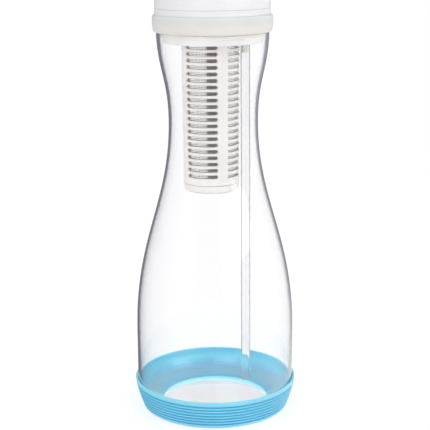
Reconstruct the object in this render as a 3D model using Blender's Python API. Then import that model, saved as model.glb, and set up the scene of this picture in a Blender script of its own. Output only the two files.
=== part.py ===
"""A filter-as-you-pour water carafe, taken apart into its real pieces.

A waisted clear carafe stands in a ribbed silicone boot. Its lid plugs into the neck and carries
a slotted filter cartridge and an air tube. The lid's cap turns on a bayonet and has a pour flap.
Lengths are in metres, +Z is up, and the origin is on the carafe's axis at the table.
"""

import math

import bmesh
import bpy
from mathutils import Vector
from mathutils.geometry import interpolate_bezier

MM = 0.001

# Clearances
SEAT_GAP = 0.3 * MM
RUNNING_GAP = 0.4 * MM
FUSE = 0.5 * MM
CUT_PAST = 2.0 * MM

# Boot
BOOT_HEIGHT = 21.3 * MM
BOOT_FLOOR = 2.2 * MM
BOOT_WALL = 1.6 * MM
BOOT_FOOT_INSET = 5.1 * MM
BOOT_EDGE = 2.4 * MM
BOOT_HOLE_RADIUS = 37.0 * MM
RIB_BAND = 2.7 * MM
RIB_PITCH = 2.35 * MM
RIB_DEPTH = 0.6 * MM
RIB_COUNT = 7

# Carafe
BASE_RADIUS = 55.6 * MM
BASE_CORNER = 16.0 * MM
LIP_WALL = 2.4 * MM
SIDE_WALL = 1.4 * MM
LIP_GATHER = 2.5
GLASS_FLOOR = 3.0 * MM
SHOULDER_HEIGHT = 57.0 * MM
SHOULDER_PULL = 68.0 * MM
WAIST_HEIGHT = 206.5 * MM
WAIST_RADIUS = 30.8 * MM
WAIST_PULL_DOWN = 58.0 * MM
WAIST_PULL_UP = 30.0 * MM
NECK_RADIUS = 38.6 * MM
NECK_HEIGHT = 272.0 * MM
NECK_PULL = 30.0 * MM
LIP_RISE = 4.0 * MM

# Neck collar
COLLAR_WALL = 2.15 * MM
COLLAR_DROP = 8.6 * MM
COLLAR_TOP = 2.9 * MM
COLLAR_TAPER = 1.0 * MM
COLLAR_CHAMFER = 1.2 * MM

# Lid plug
LID_RADIUS = 39.4 * MM
LID_RING_HEIGHT = 3.4 * MM
PLUG_DEPTH = 19.3 * MM
PLUG_CLEARANCE = 2.3 * MM
PLUG_WALL = 2.4 * MM
PLUG_LIP = 3.6 * MM
GASKET_HEIGHT = 5.4 * MM
GASKET_GROOVE = 1.0 * MM
DECK_RISE = 7.8 * MM
DECK = 2.4 * MM
UPSTAND_HEIGHT = 8.2 * MM
UPSTAND_WALL = 2.4 * MM

# Bayonet between cap and plug
BAYONET_COUNT = 3
BAYONET_SPACE = 1.6 * MM
BAYONET_BITE = 1.15 * MM
BAYONET_LUG_ARC = 26.0
BAYONET_LEDGE_ARC = 34.0
BAYONET_LEDGE_HEIGHT = 2.0 * MM
BAYONET_LUG_HEIGHT = 2.0 * MM

# Cap
CAP_HEIGHT = 23.2 * MM
CAP_WALL = 2.2 * MM
CAP_ROOF = 6.2 * MM
CAP_EDGE = 1.6 * MM
CAP_SEAL = 1.3 * MM
CAP_RIB = 1.8 * MM
CAP_POCKET_SKIN = 2.4 * MM
VENT_HOLE_RADIUS = 1.2 * MM
VENT_HOLE_PITCH = 5.0 * MM
VENT_HOLE_COUNT = 3

# Pour flap and its hinge
HINGE_X = 4.0 * MM
KNUCKLE_RADIUS = 2.2 * MM
KNUCKLE_HALF = 9.5 * MM
PIN_RADIUS = 1.2 * MM
PIN_GRIP = 6.0 * MM
FLAP_THICK = 3.0 * MM
TAB_WIDTH = 16.0 * MM
TAB_REACH = 3.0 * MM
POUR_LENGTH = 12.0 * MM
POUR_WIDTH = 22.0 * MM
POUR_CORNER = 4.0 * MM
POUR_FROM_RIM = 7.0 * MM
SEAL_OVERLAP = 2.4 * MM
SEAL_THICK = 1.2 * MM

# Filter cartridge
FILTER_SHIFT = 1.6 * MM
CAGE_TOP_RADIUS = 20.0 * MM
CAGE_FOOT_RADIUS = 19.2 * MM
CAGE_WALL = 1.2 * MM
CAGE_TOP_BAND = 3.5 * MM
CAGE_FOOT_BAND = 5.0 * MM
SLOT_ROWS = 21
SLOT_PITCH = 4.4 * MM
SLOT_HEIGHT = 2.65 * MM
SLOT_COLUMNS = 4
SLOT_ARC = 69.5
SLOT_TURN = -20.4
SLOT_FACETS = 3
HEAD_FLANGE = 2.0 * MM
HEAD_SPIGOT = 2.8 * MM
OUTLET_RADIUS = 12.6 * MM
OUTLET_WALL = 2.2 * MM
OUTLET_LUG_COUNT = 3
OUTLET_LUG_ARC = 30.0
OUTLET_LUG_REACH = 2.4 * MM
OUTLET_LUG_HEIGHT = 2.0 * MM
OUTLET_NOTCH_SPARE = 6.0
FILTER_UNLOCK = 60.0
ORING_SECTION = 2.2 * MM
SLEEVE_WALL = 0.5 * MM
SCREEN_THICK = 1.5 * MM
END_CAP_HEIGHT = 5.5 * MM
END_CAP_EDGE = 3.6 * MM
END_CAP_FLOOR = 2.0 * MM
END_CAP_SPIGOT = 4.0 * MM
END_CAP_SPIGOT_WALL = 1.8 * MM

# Air tube and vent
TUBE_OFFSET = 22.2 * MM
TUBE_RADIUS = 3.3 * MM
TUBE_WALL = 0.6 * MM
TUBE_FLOOR_GAP = 11.5 * MM
NIPPLE_DEPTH = 15.0 * MM
GROMMET_BORE = 1.3 * MM
GROMMET_STEM = 3.0 * MM
GROMMET_FLANGE_RADIUS = 5.5 * MM
GROMMET_FLANGE = 1.3 * MM
VENT_BOSS_RADIUS = 3.4 * MM
VENT_BOSS_HEIGHT = 3.0 * MM
VALVE_WALL = 1.2 * MM
VALVE_BILL = 5.0 * MM
VALVE_LIP = 1.2 * MM

# Facets
BODY_STEPS = 36
SMALL_STEPS = 24
TUBE_STEPS = 12
LOWER_CURVE_POINTS = 9
UPPER_CURVE_POINTS = 7
ORING_POINTS = 6
CORNER_POINTS = 4
BASE_POINTS = 5
SMOOTH_ANGLE = math.radians(35)

# Levels, from the table up
glass_foot_z = BOOT_FLOOR + SEAT_GAP
glass_floor_z = glass_foot_z + GLASS_FLOOR
lip_z = NECK_HEIGHT + LIP_RISE
collar_under_z = lip_z + SEAT_GAP
collar_top_z = collar_under_z + COLLAR_TOP
ring_bottom_z = collar_top_z + SEAT_GAP
ring_top_z = ring_bottom_z + LID_RING_HEIGHT
plug_bottom_z = ring_bottom_z - PLUG_DEPTH
gasket_bottom_z = plug_bottom_z + PLUG_LIP
gasket_top_z = gasket_bottom_z + GASKET_HEIGHT
deck_bottom_z = plug_bottom_z + DECK_RISE
deck_top_z = deck_bottom_z + DECK
upstand_top_z = ring_top_z + UPSTAND_HEIGHT
cap_bottom_z = ring_top_z + RUNNING_GAP
cap_top_z = cap_bottom_z + CAP_HEIGHT
cap_roof_z = cap_top_z - CAP_ROOF
cap_seal_z = upstand_top_z + SEAT_GAP
cap_rib_z = cap_seal_z + CAP_SEAL + SEAT_GAP
ledge_z = cap_bottom_z + FUSE
lug_z = ledge_z + BAYONET_LEDGE_HEIGHT + RUNNING_GAP
hinge_z = cap_top_z - KNUCKLE_RADIUS
flap_bottom_z = cap_top_z - FLAP_THICK
recess_z = flap_bottom_z - SEAT_GAP
head_flange_top_z = deck_bottom_z - ORING_SECTION - 2 * SEAT_GAP
head_flange_z = head_flange_top_z - HEAD_FLANGE
head_spigot_z = head_flange_z - HEAD_SPIGOT
cage_top_z = head_flange_z - SEAT_GAP
slots_top_z = cage_top_z - CAGE_TOP_BAND
slots_bottom_z = slots_top_z - (SLOT_ROWS - 1) * SLOT_PITCH - SLOT_HEIGHT
cage_foot_z = slots_bottom_z - CAGE_FOOT_BAND
end_cap_top_z = cage_foot_z - SEAT_GAP
end_cap_foot_z = end_cap_top_z - END_CAP_HEIGHT
spigot_top_z = end_cap_top_z + END_CAP_SPIGOT
sleeve_foot_z = spigot_top_z + SEAT_GAP
sleeve_top_z = head_spigot_z - SEAT_GAP
outlet_top_z = deck_top_z + RUNNING_GAP + OUTLET_LUG_HEIGHT
tube_top_z = deck_bottom_z - SEAT_GAP
tube_foot_z = glass_floor_z + TUBE_FLOOR_GAP
nipple_foot_z = deck_bottom_z - NIPPLE_DEPTH
grommet_flange_z = deck_top_z + SEAT_GAP
vent_boss_z = grommet_flange_z + GROMMET_FLANGE
vent_boss_top_z = vent_boss_z + VENT_BOSS_HEIGHT

# Radii that follow from the driving sizes
boot_rim_radius = BASE_RADIUS + SEAT_GAP + BOOT_WALL
neck_bore_radius = NECK_RADIUS - LIP_WALL
plug_radius = neck_bore_radius - PLUG_CLEARANCE
plug_bore_radius = plug_radius - PLUG_WALL
skirt_radius = LID_RADIUS - CAP_WALL
upstand_radius = skirt_radius - BAYONET_SPACE
upstand_bore_radius = upstand_radius - UPSTAND_WALL
hinge_wall = KNUCKLE_RADIUS + SEAT_GAP + FUSE
below_hinge = FLAP_THICK - KNUCKLE_RADIUS
flap_edge = math.sqrt(hinge_wall**2 + KNUCKLE_RADIUS**2 - below_hinge**2) + SEAT_GAP
pin_hole_radius = PIN_RADIUS + SEAT_GAP
pour_centre_x = -(LID_RADIUS - POUR_FROM_RIM - POUR_LENGTH / 2)
tube_bore_radius = TUBE_RADIUS - TUBE_WALL


def arc(centre, radius, start, end, points):
    """Points (r, z) along an arc, both ends included, with angles in degrees from +r towards +z."""
    angles = [math.radians(start + (end - start) * i / (points - 1)) for i in range(points)]
    return [(centre[0] + radius * math.cos(a), centre[1] + radius * math.sin(a)) for a in angles]


def upright_curve(low, high, pull_up, pull_down, points):
    """A Bezier from low to high whose ends both stand upright, as (r, z) points."""
    knots = [Vector((r, z, 0)) for r, z in (low, high)]
    handles = (knots[0] + Vector((0, pull_up, 0)), knots[1] - Vector((0, pull_down, 0)))
    curve = interpolate_bezier(knots[0], *handles, knots[1], points)
    return [(p.x, p.y) for p in curve]


def glass_side():
    """The carafe's outer side as (r, z) points, from the top of the base corner to the neck."""
    shoulder = (BASE_RADIUS, SHOULDER_HEIGHT)
    waist = (WAIST_RADIUS, WAIST_HEIGHT)
    neck = (NECK_RADIUS, NECK_HEIGHT)
    lower = upright_curve(shoulder, waist, SHOULDER_PULL, WAIST_PULL_DOWN, LOWER_CURVE_POINTS)
    upper = upright_curve(waist, neck, WAIST_PULL_UP, NECK_PULL, UPPER_CURVE_POINTS)
    return lower + upper[1:]


def glass_wall(z):
    """The carafe's wall at height z: thin at the shoulder, gathering to its full thickness at the neck."""
    share = max(0.0, (z - SHOULDER_HEIGHT) / (NECK_HEIGHT - SHOULDER_HEIGHT))
    return SIDE_WALL + (LIP_WALL - SIDE_WALL) * share**LIP_GATHER


def radius_at(outline, z):
    """The radius of an upward outline of (r, z) points at height z."""
    for (r0, z0), (r1, z1) in zip(outline, outline[1:]):
        if z0 <= z <= z1:
            return r0 + (r1 - r0) * (z - z0) / (z1 - z0)
    return outline[0][0] if z < outline[0][1] else outline[-1][0]


def cage_radius(z):
    """The cage's outer radius, which narrows evenly towards its foot."""
    share = (z - cage_foot_z) / (cage_top_z - cage_foot_z)
    return CAGE_FOOT_RADIUS + (CAGE_TOP_RADIUS - CAGE_FOOT_RADIUS) * share


def cage_bore(z):
    """The clear radius inside the cage's wall, measured to the middle of its widest facet."""
    facet = max(SLOT_ARC / SLOT_FACETS, 360 / SLOT_COLUMNS - SLOT_ARC)
    return (cage_radius(z) - CAGE_WALL) * math.cos(math.radians(facet / 2))


def finish_material(name, colour, roughness, metallic=0.0, transmission=0.0):
    made = bpy.data.materials.new(name)
    made.use_nodes = True
    shader = made.node_tree.nodes["Principled BSDF"]
    shader.inputs["Base Color"].default_value = (*colour, 1.0)
    shader.inputs["Roughness"].default_value = roughness
    shader.inputs["Metallic"].default_value = metallic
    shader.inputs["Transmission Weight"].default_value = transmission
    return made


def link(name, bm, material, parent=None):
    """Makes a bmesh into a named object with outward faces, smooth where it is round."""
    bmesh.ops.recalc_face_normals(bm, faces=bm.faces)
    mesh = bpy.data.meshes.new(name)
    bm.to_mesh(mesh)
    bm.free()
    mesh.shade_smooth()
    mesh.set_sharp_from_angle(angle=SMOOTH_ANGLE)
    if material:
        mesh.materials.append(material)
    obj = bpy.data.objects.new(name, mesh)
    bpy.context.scene.collection.objects.link(obj)
    obj.parent = parent
    return obj


def turned(name, outline, material, parent=None, ring=False, steps=BODY_STEPS):
    """Spins (r, z) points about Z. A ring's outline closes on itself, and any other ends on the axis."""
    bm = bmesh.new()
    points = [bm.verts.new((r, 0, z)) for r, z in outline]
    pairs = list(zip(points, points[1:]))
    if ring:
        pairs.append((points[-1], points[0]))
    edges = [bm.edges.new(pair) for pair in pairs]
    bmesh.ops.spin(
        bm, geom=points + edges, axis=(0, 0, 1), cent=(0, 0, 0), angle=math.tau, steps=steps, use_merge=True
    )
    bmesh.ops.remove_doubles(bm, verts=bm.verts, dist=1e-7)
    return link(name, bm, material, parent)


def extruded(name, outline, low, high, material=None, parent=None):
    """A prism with an (x, y) outline between two heights."""
    bm = bmesh.new()
    face = bm.faces.new([bm.verts.new((x, y, low)) for x, y in outline])
    raised = bmesh.ops.extrude_face_region(bm, geom=[face])["geom"]
    moved = [v for v in raised if isinstance(v, bmesh.types.BMVert)]
    bmesh.ops.translate(bm, verts=moved, vec=(0, 0, high - low))
    return link(name, bm, material, parent)


def rod(name, radius, low, high, material=None, parent=None, steps=SMALL_STEPS):
    """A plain cylinder about Z."""
    outline = [(0, low), (radius, low), (radius, high), (0, high)]
    return turned(name, outline, material, parent, steps=steps)


def cross_rod(name, radius, start_y, end_y, material=None, parent=None, steps=SMALL_STEPS):
    """A plain cylinder along Y through its parent's origin."""
    outline = arc((0, 0), radius, 0, 360, steps + 1)[:-1]
    made = extruded(name, outline, -end_y, -start_y, material, parent)
    made.rotation_euler.x = math.pi / 2
    return made


def sector(name, radii, heights, middle, spread, parent):
    """A block of a ring, between two radii and two heights, about the angle middle, in degrees."""
    start = middle - spread / 2
    end = middle + spread / 2
    outline = arc((0, 0), radii[0], start, end, CORNER_POINTS)
    outline += arc((0, 0), radii[1], end, start, CORNER_POINTS)
    return extruded(name, outline, *heights, parent=parent)


def rectangle(start_x, end_x, half_width):
    """An (x, y) outline, the same to both sides of the X axis."""
    return [(start_x, -half_width), (end_x, -half_width), (end_x, half_width), (start_x, half_width)]


def rounded_rectangle(centre_x, length, width, corner):
    """An (x, y) outline with round corners, points counted anticlockwise."""
    points = []
    corners = ((1, 1, 0), (-1, 1, 90), (-1, -1, 180), (1, -1, 270))
    for side_x, side_y, start in corners:
        centre = (centre_x + side_x * (length / 2 - corner), side_y * (width / 2 - corner))
        points += arc(centre, corner, start, start + 90, CORNER_POINTS)
    return points


def boolean(obj, tool, operation):
    """Cuts a tool from an object or joins it on, and keeps the tool as a hidden helper."""
    tool.hide_render = True
    tool.display_type = "WIRE"
    modifier = obj.modifiers.new(tool.name, "BOOLEAN")
    modifier.object = tool
    modifier.operation = operation


def cut(obj, tool):
    boolean(obj, tool, "DIFFERENCE")


def join(obj, tool):
    boolean(obj, tool, "UNION")


def joint_empty(name, location, parent=None):
    """An empty on a joint's axis, placed in world terms under its parent."""
    empty = bpy.data.objects.new(name, None)
    bpy.context.scene.collection.objects.link(empty)
    empty.parent = parent
    above = parent
    place = Vector(location)
    while above:
        place -= above.location
        above = above.parent
    empty.location = place
    return empty


def carafe_body(clear):
    """One clear wall from the thick floor, past the grip waist, to the round lip."""
    side = glass_side()
    flat_radius = BASE_RADIUS - BASE_CORNER
    corner = arc((flat_radius, glass_foot_z + BASE_CORNER), BASE_CORNER, -90, 0, BASE_POINTS)
    lip_radius = LIP_WALL / 2
    lip = arc((NECK_RADIUS - lip_radius, lip_z - lip_radius), lip_radius, 0, 180, CORNER_POINTS)
    inner_corner_radius = BASE_CORNER - SIDE_WALL
    inner_centre = (flat_radius, glass_floor_z + inner_corner_radius)
    inner_corner = arc(inner_centre, inner_corner_radius, 0, -90, BASE_POINTS)
    inside = [(r - glass_wall(z), z) for r, z in reversed(side)]
    outline = [(0, glass_foot_z)] + corner + side + lip + inside + inner_corner + [(0, glass_floor_z)]
    return turned("carafe_body", outline, clear)


def base_boot(blue):
    """A stretch boot: ribbed outside, fitted to the carafe's foot inside, open in the middle."""
    foot_radius = boot_rim_radius - BOOT_FOOT_INSET
    ribs_top = BOOT_HEIGHT - RIB_BAND

    def side(z):
        """The boot's outer radius, which bows in towards the foot."""
        share = min(1.0, max(0.0, (BOOT_HEIGHT - z) / (BOOT_HEIGHT - BOOT_EDGE)))
        return boot_rim_radius - BOOT_FOOT_INSET * share**1.5

    outside = arc((foot_radius - BOOT_EDGE, BOOT_EDGE), BOOT_EDGE, -90, 0, CORNER_POINTS)
    for i in reversed(range(RIB_COUNT)):
        groove = ribs_top - (i + 0.5) * RIB_PITCH
        crest = groove + RIB_PITCH / 2
        outside += [(side(groove) - RIB_DEPTH, groove), (side(crest), crest)]
    outside.append((boot_rim_radius, BOOT_HEIGHT))
    fit = BASE_CORNER + SEAT_GAP
    inside = [(BASE_RADIUS + SEAT_GAP, BOOT_HEIGHT)]
    inside += arc((BASE_RADIUS - BASE_CORNER, BOOT_FLOOR + fit), fit, 0, -90, BASE_POINTS)
    inside += [(BOOT_HOLE_RADIUS, BOOT_FLOOR), (BOOT_HOLE_RADIUS, 0)]
    return turned("base_boot", outside + inside, blue, ring=True)


def neck_collar(milky):
    """A silicone collar that wraps the lip and gives the lid its seat."""
    bore = NECK_RADIUS + SEAT_GAP
    outer = bore + COLLAR_WALL
    low = lip_z - COLLAR_DROP
    middle = low + COLLAR_DROP / 2
    outline = [
        (bore, low),
        (outer - COLLAR_TAPER, low),
        (outer, middle),
        (outer, collar_top_z - COLLAR_CHAMFER),
        (outer - COLLAR_CHAMFER, collar_top_z),
        (neck_bore_radius, collar_top_z),
        (neck_bore_radius, collar_under_z),
        (bore, collar_under_z),
    ]
    return turned("neck_collar", outline, milky, ring=True)


def lid_plug(white, lift):
    """The lid's lower half: the plug, the deck that hangs the filter, and the bayonet upstand."""
    groove_radius = plug_radius - GASKET_GROOVE
    outline = [
        (0, deck_bottom_z),
        (plug_bore_radius, deck_bottom_z),
        (plug_bore_radius, plug_bottom_z),
        (plug_radius, plug_bottom_z),
        (plug_radius, gasket_bottom_z),
        (groove_radius, gasket_bottom_z),
        (groove_radius, gasket_top_z),
        (plug_radius, gasket_top_z),
        (plug_radius, ring_bottom_z),
        (LID_RADIUS, ring_bottom_z),
        (LID_RADIUS, ring_top_z),
        (upstand_radius, ring_top_z),
        (upstand_radius, upstand_top_z),
        (upstand_bore_radius, upstand_top_z),
        (upstand_bore_radius, ring_bottom_z),
        (plug_bore_radius, ring_bottom_z),
        (plug_bore_radius, deck_top_z),
        (0, deck_top_z),
    ]
    plug = turned("lid_plug", outline, white, lift)
    low = deck_bottom_z - CUT_PAST
    high = deck_top_z + CUT_PAST
    hole = rod("outlet_hole", OUTLET_RADIUS + RUNNING_GAP, low, high, parent=lift)
    hole.location.x = -FILTER_SHIFT
    cut(plug, hole)
    notch_radii = (OUTLET_RADIUS - FUSE, OUTLET_RADIUS + OUTLET_LUG_REACH + RUNNING_GAP)
    notch_arc = OUTLET_LUG_ARC + OUTLET_NOTCH_SPARE
    for i in range(OUTLET_LUG_COUNT):
        middle = FILTER_UNLOCK + i * 360 / OUTLET_LUG_COUNT
        notch = sector(f"outlet_notch_{i}", notch_radii, (low, high), middle, notch_arc, lift)
        notch.location.x = -FILTER_SHIFT
        cut(plug, notch)
    stem_hole = rod("stem_hole", GROMMET_STEM + SEAT_GAP, low, high, parent=lift)
    stem_hole.location.x = TUBE_OFFSET
    cut(plug, stem_hole)
    radii = (upstand_radius - FUSE, upstand_radius + BAYONET_BITE)
    heights = (lug_z, lug_z + BAYONET_LUG_HEIGHT)
    for i in range(BAYONET_COUNT):
        middle = i * 360 / BAYONET_COUNT
        join(plug, sector(f"bayonet_lug_{i}", radii, heights, middle, BAYONET_LUG_ARC, lift))
    return plug


def plug_gasket(beige, lift):
    """The ring in the plug's groove that seals against the neck's bore."""
    bore = plug_radius - GASKET_GROOVE + SEAT_GAP
    low = gasket_bottom_z + SEAT_GAP
    high = gasket_top_z - SEAT_GAP
    outer = radius_at(glass_side(), low) - glass_wall(low) - SEAT_GAP
    waist = outer - GASKET_GROOVE / 2
    outline = [(bore, low), (waist, low), (outer, (low + high) / 2), (waist, high), (bore, high)]
    return turned("plug_gasket", outline, beige, lift, ring=True)


def air_tube(clear, lift):
    """The straight tube that lets air in near the carafe's floor."""
    outline = [
        (tube_bore_radius, tube_foot_z),
        (TUBE_RADIUS, tube_foot_z),
        (TUBE_RADIUS, tube_top_z),
        (tube_bore_radius, tube_top_z),
    ]
    tube = turned("air_tube", outline, clear, lift, ring=True, steps=TUBE_STEPS)
    tube.location.x = TUBE_OFFSET
    return tube


def tube_grommet(beige, lift):
    """The nipple that the tube hangs on, held through the deck by its flange."""
    nipple_radius = tube_bore_radius - SEAT_GAP
    outline = [
        (GROMMET_BORE, nipple_foot_z),
        (nipple_radius, nipple_foot_z),
        (nipple_radius, deck_bottom_z),
        (GROMMET_STEM, deck_bottom_z),
        (GROMMET_STEM, grommet_flange_z),
        (GROMMET_FLANGE_RADIUS, grommet_flange_z),
        (GROMMET_FLANGE_RADIUS, vent_boss_z),
        (VENT_BOSS_RADIUS, vent_boss_z),
        (VENT_BOSS_RADIUS, vent_boss_top_z),
        (GROMMET_BORE, vent_boss_top_z),
    ]
    grommet = turned("tube_grommet", outline, beige, lift, ring=True, steps=TUBE_STEPS)
    grommet.location.x = TUBE_OFFSET
    return grommet


def vent_valve(milky, lift):
    """A duckbill on the vent boss: it opens for air going in and shuts against water."""
    bore = VENT_BOSS_RADIUS + SEAT_GAP
    outer = bore + VALVE_WALL
    low = vent_boss_z + SEAT_GAP
    shoulder = vent_boss_top_z + SEAT_GAP + VALVE_WALL
    top = shoulder + VALVE_BILL
    outline = [(0, low), (outer, low), (outer, shoulder), (outer, top), (0, top)]
    valve = turned("vent_valve", outline, milky, lift, steps=TUBE_STEPS)
    for vertex in valve.data.vertices:
        if vertex.co.z > top - FUSE:
            vertex.co.y *= VALVE_LIP / outer
    valve.location.x = TUBE_OFFSET
    socket_top = vent_boss_top_z + SEAT_GAP
    socket = rod("valve_socket", bore, low - CUT_PAST, socket_top, parent=lift, steps=TUBE_STEPS)
    socket.location.x = TUBE_OFFSET
    cut(valve, socket)
    return valve


def lid_cap(white, twist):
    """The cap: a skirt with bayonet ledges, a roof recessed for the flap, and the air holes."""
    rib_radius = upstand_radius
    edge = arc((LID_RADIUS - CAP_EDGE, cap_top_z - CAP_EDGE), CAP_EDGE, 90, 0, CORNER_POINTS)
    outline = [(0, cap_top_z)] + edge + [
        (LID_RADIUS, cap_bottom_z),
        (skirt_radius, cap_bottom_z),
        (skirt_radius, cap_roof_z),
        (rib_radius, cap_roof_z),
        (rib_radius, cap_rib_z),
        (rib_radius - CAP_RIB, cap_rib_z),
        (rib_radius - CAP_RIB, cap_roof_z),
        (0, cap_roof_z),
    ]
    cap = turned("lid_cap", outline, white, twist)
    radii = (skirt_radius - BAYONET_BITE, skirt_radius + FUSE)
    heights = (ledge_z, ledge_z + BAYONET_LEDGE_HEIGHT)
    for i in range(BAYONET_COUNT):
        middle = i * 360 / BAYONET_COUNT
        join(cap, sector(f"bayonet_ledge_{i}", radii, heights, middle, BAYONET_LEDGE_ARC, twist))
    past = LID_RADIUS + CUT_PAST
    wall_x = HINGE_X - hinge_wall
    above = cap_top_z + CUT_PAST
    cut(cap, extruded("flap_recess", rectangle(-past, wall_x, past), recess_z, above, parent=twist))
    far = HINGE_X + KNUCKLE_RADIUS + RUNNING_GAP
    pocket = rectangle(wall_x - CUT_PAST, far, KNUCKLE_HALF + RUNNING_GAP)
    pocket_z = hinge_z - KNUCKLE_RADIUS - RUNNING_GAP
    cut(cap, extruded("knuckle_pocket", pocket, pocket_z, above, parent=twist))
    pour = rounded_rectangle(pour_centre_x, POUR_LENGTH, POUR_WIDTH, POUR_CORNER)
    cut(cap, extruded("pour_mouth", pour, cap_roof_z - CUT_PAST, above, parent=twist))
    hollow_radius = rib_radius - CAP_RIB - SEAT_GAP
    hollow_x = far + CAP_POCKET_SKIN
    half_angle = math.degrees(math.acos(hollow_x / hollow_radius))
    hollow = arc((0, 0), hollow_radius, -half_angle, half_angle, 2 * CORNER_POINTS)
    hollow_top = cap_top_z - CAP_POCKET_SKIN
    cut(cap, extruded("roof_hollow", hollow, cap_roof_z - CUT_PAST, hollow_top, parent=twist))
    below = hollow_top - CUT_PAST
    for i in range(VENT_HOLE_COUNT):
        y = (i - (VENT_HOLE_COUNT - 1) / 2) * VENT_HOLE_PITCH
        hole = rod(f"vent_hole_{i}", VENT_HOLE_RADIUS, below, above, parent=twist, steps=TUBE_STEPS)
        hole.location = (TUBE_OFFSET, y, 0)
        cut(cap, hole)
    pin_stop = -KNUCKLE_HALF - PIN_GRIP - SEAT_GAP
    pin_hole = cross_rod("pin_hole", pin_hole_radius, pin_stop, past, parent=twist)
    pin_hole.location = (HINGE_X, 0, hinge_z)
    cut(cap, pin_hole)
    return cap


def cap_seal(milky, twist):
    """The flat ring between the cap's rib and the top of the plug's upstand."""
    outer = upstand_radius
    inner = upstand_radius - CAP_RIB
    low = cap_seal_z
    high = low + CAP_SEAL
    outline = [(inner, low), (outer, low), (outer, high), (inner, high)]
    return turned("cap_seal", outline, milky, twist, ring=True)


def hinge_pin(steel, twist):
    """The pin pushed in from the cap's side, on which the flap's knuckle turns."""
    end = math.sqrt(LID_RADIUS**2 - HINGE_X**2) - CAP_EDGE
    pin = cross_rod("hinge_pin", PIN_RADIUS, -KNUCKLE_HALF - PIN_GRIP, end, steel, twist, TUBE_STEPS)
    pin.location = (HINGE_X, 0, hinge_z)
    return pin


def flap_outline():
    """The flap from above: the lid's round with a thumb tab, and a straight edge at the hinge."""
    edge_x = HINGE_X - flap_edge
    meets = math.degrees(math.acos(edge_x / LID_RADIUS))
    tab = math.degrees(math.asin(TAB_WIDTH / 2 / LID_RADIUS))
    upper = arc((0, 0), LID_RADIUS, meets, 180 - tab, 2 * CORNER_POINTS)
    lower = [(x, -y) for x, y in reversed(upper)]
    reach = -LID_RADIUS - TAB_REACH
    return upper + [(reach, TAB_WIDTH / 2), (reach, -TAB_WIDTH / 2)] + lower


def pour_flap(white, hinge):
    """The flap that covers the pour mouth, with its knuckle on the pin."""
    flap = extruded("pour_flap", flap_outline(), flap_bottom_z, cap_top_z, white, hinge)
    flap.location = (-HINGE_X, 0, -hinge_z)
    web = rectangle(HINGE_X - flap_edge - FUSE, HINGE_X, KNUCKLE_HALF)
    arm = extruded("flap_arm", web, flap_bottom_z + FUSE / 2, cap_top_z - FUSE, parent=hinge)
    arm.location = flap.location
    join(flap, arm)
    join(flap, cross_rod("flap_knuckle", KNUCKLE_RADIUS, -KNUCKLE_HALF, KNUCKLE_HALF, parent=hinge))
    past = KNUCKLE_HALF + CUT_PAST
    cut(flap, cross_rod("knuckle_bore", pin_hole_radius, -past, past, parent=hinge))
    pocket_low = flap_bottom_z - CUT_PAST
    pocket_top = flap_bottom_z + SEAL_THICK + SEAT_GAP
    pocket = extruded("seal_pocket", seal_outline(SEAT_GAP), pocket_low, pocket_top, parent=hinge)
    pocket.location = flap.location
    cut(flap, pocket)
    return flap


def seal_outline(grow):
    length = POUR_LENGTH + 2 * (SEAL_OVERLAP + grow)
    width = POUR_WIDTH + 2 * (SEAL_OVERLAP + grow)
    return rounded_rectangle(pour_centre_x, length, width, POUR_CORNER + SEAL_OVERLAP)


def flap_seal(milky, hinge):
    """The pad let into the flap's underside that closes the pour mouth."""
    seal = extruded("flap_seal", seal_outline(0), flap_bottom_z, flap_bottom_z + SEAL_THICK, milky, hinge)
    seal.location = (-HINGE_X, 0, -hinge_z)
    return seal


def filter_head(white, turn):
    """The cartridge's top: a spigot in the cage, a flange on it, and the outlet with bayonet lugs."""
    spigot_radius = cage_bore(head_spigot_z) - SEAT_GAP
    bore = OUTLET_RADIUS - OUTLET_WALL
    outline = [
        (bore, head_spigot_z),
        (spigot_radius, head_spigot_z),
        (spigot_radius, head_flange_z),
        (CAGE_TOP_RADIUS, head_flange_z),
        (CAGE_TOP_RADIUS, head_flange_top_z),
        (OUTLET_RADIUS, head_flange_top_z),
        (OUTLET_RADIUS, outlet_top_z),
        (bore, outlet_top_z),
    ]
    head = turned("filter_head", outline, white, turn, ring=True, steps=SMALL_STEPS)
    radii = (OUTLET_RADIUS - FUSE, OUTLET_RADIUS + OUTLET_LUG_REACH)
    heights = (deck_top_z + RUNNING_GAP, outlet_top_z)
    for i in range(OUTLET_LUG_COUNT):
        middle = i * 360 / OUTLET_LUG_COUNT
        join(head, sector(f"outlet_lug_{i}", radii, heights, middle, OUTLET_LUG_ARC, turn))
    return head


def head_oring(milky, turn):
    """The ring that seals the filter's outlet to the deck."""
    section = ORING_SECTION / 2
    centre = (OUTLET_RADIUS + SEAT_GAP + section, head_flange_top_z + SEAT_GAP + section)
    outline = arc(centre, section, 0, 360, ORING_POINTS + 1)[:-1]
    return turned("head_oring", outline, milky, turn, ring=True, steps=SMALL_STEPS)


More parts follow.
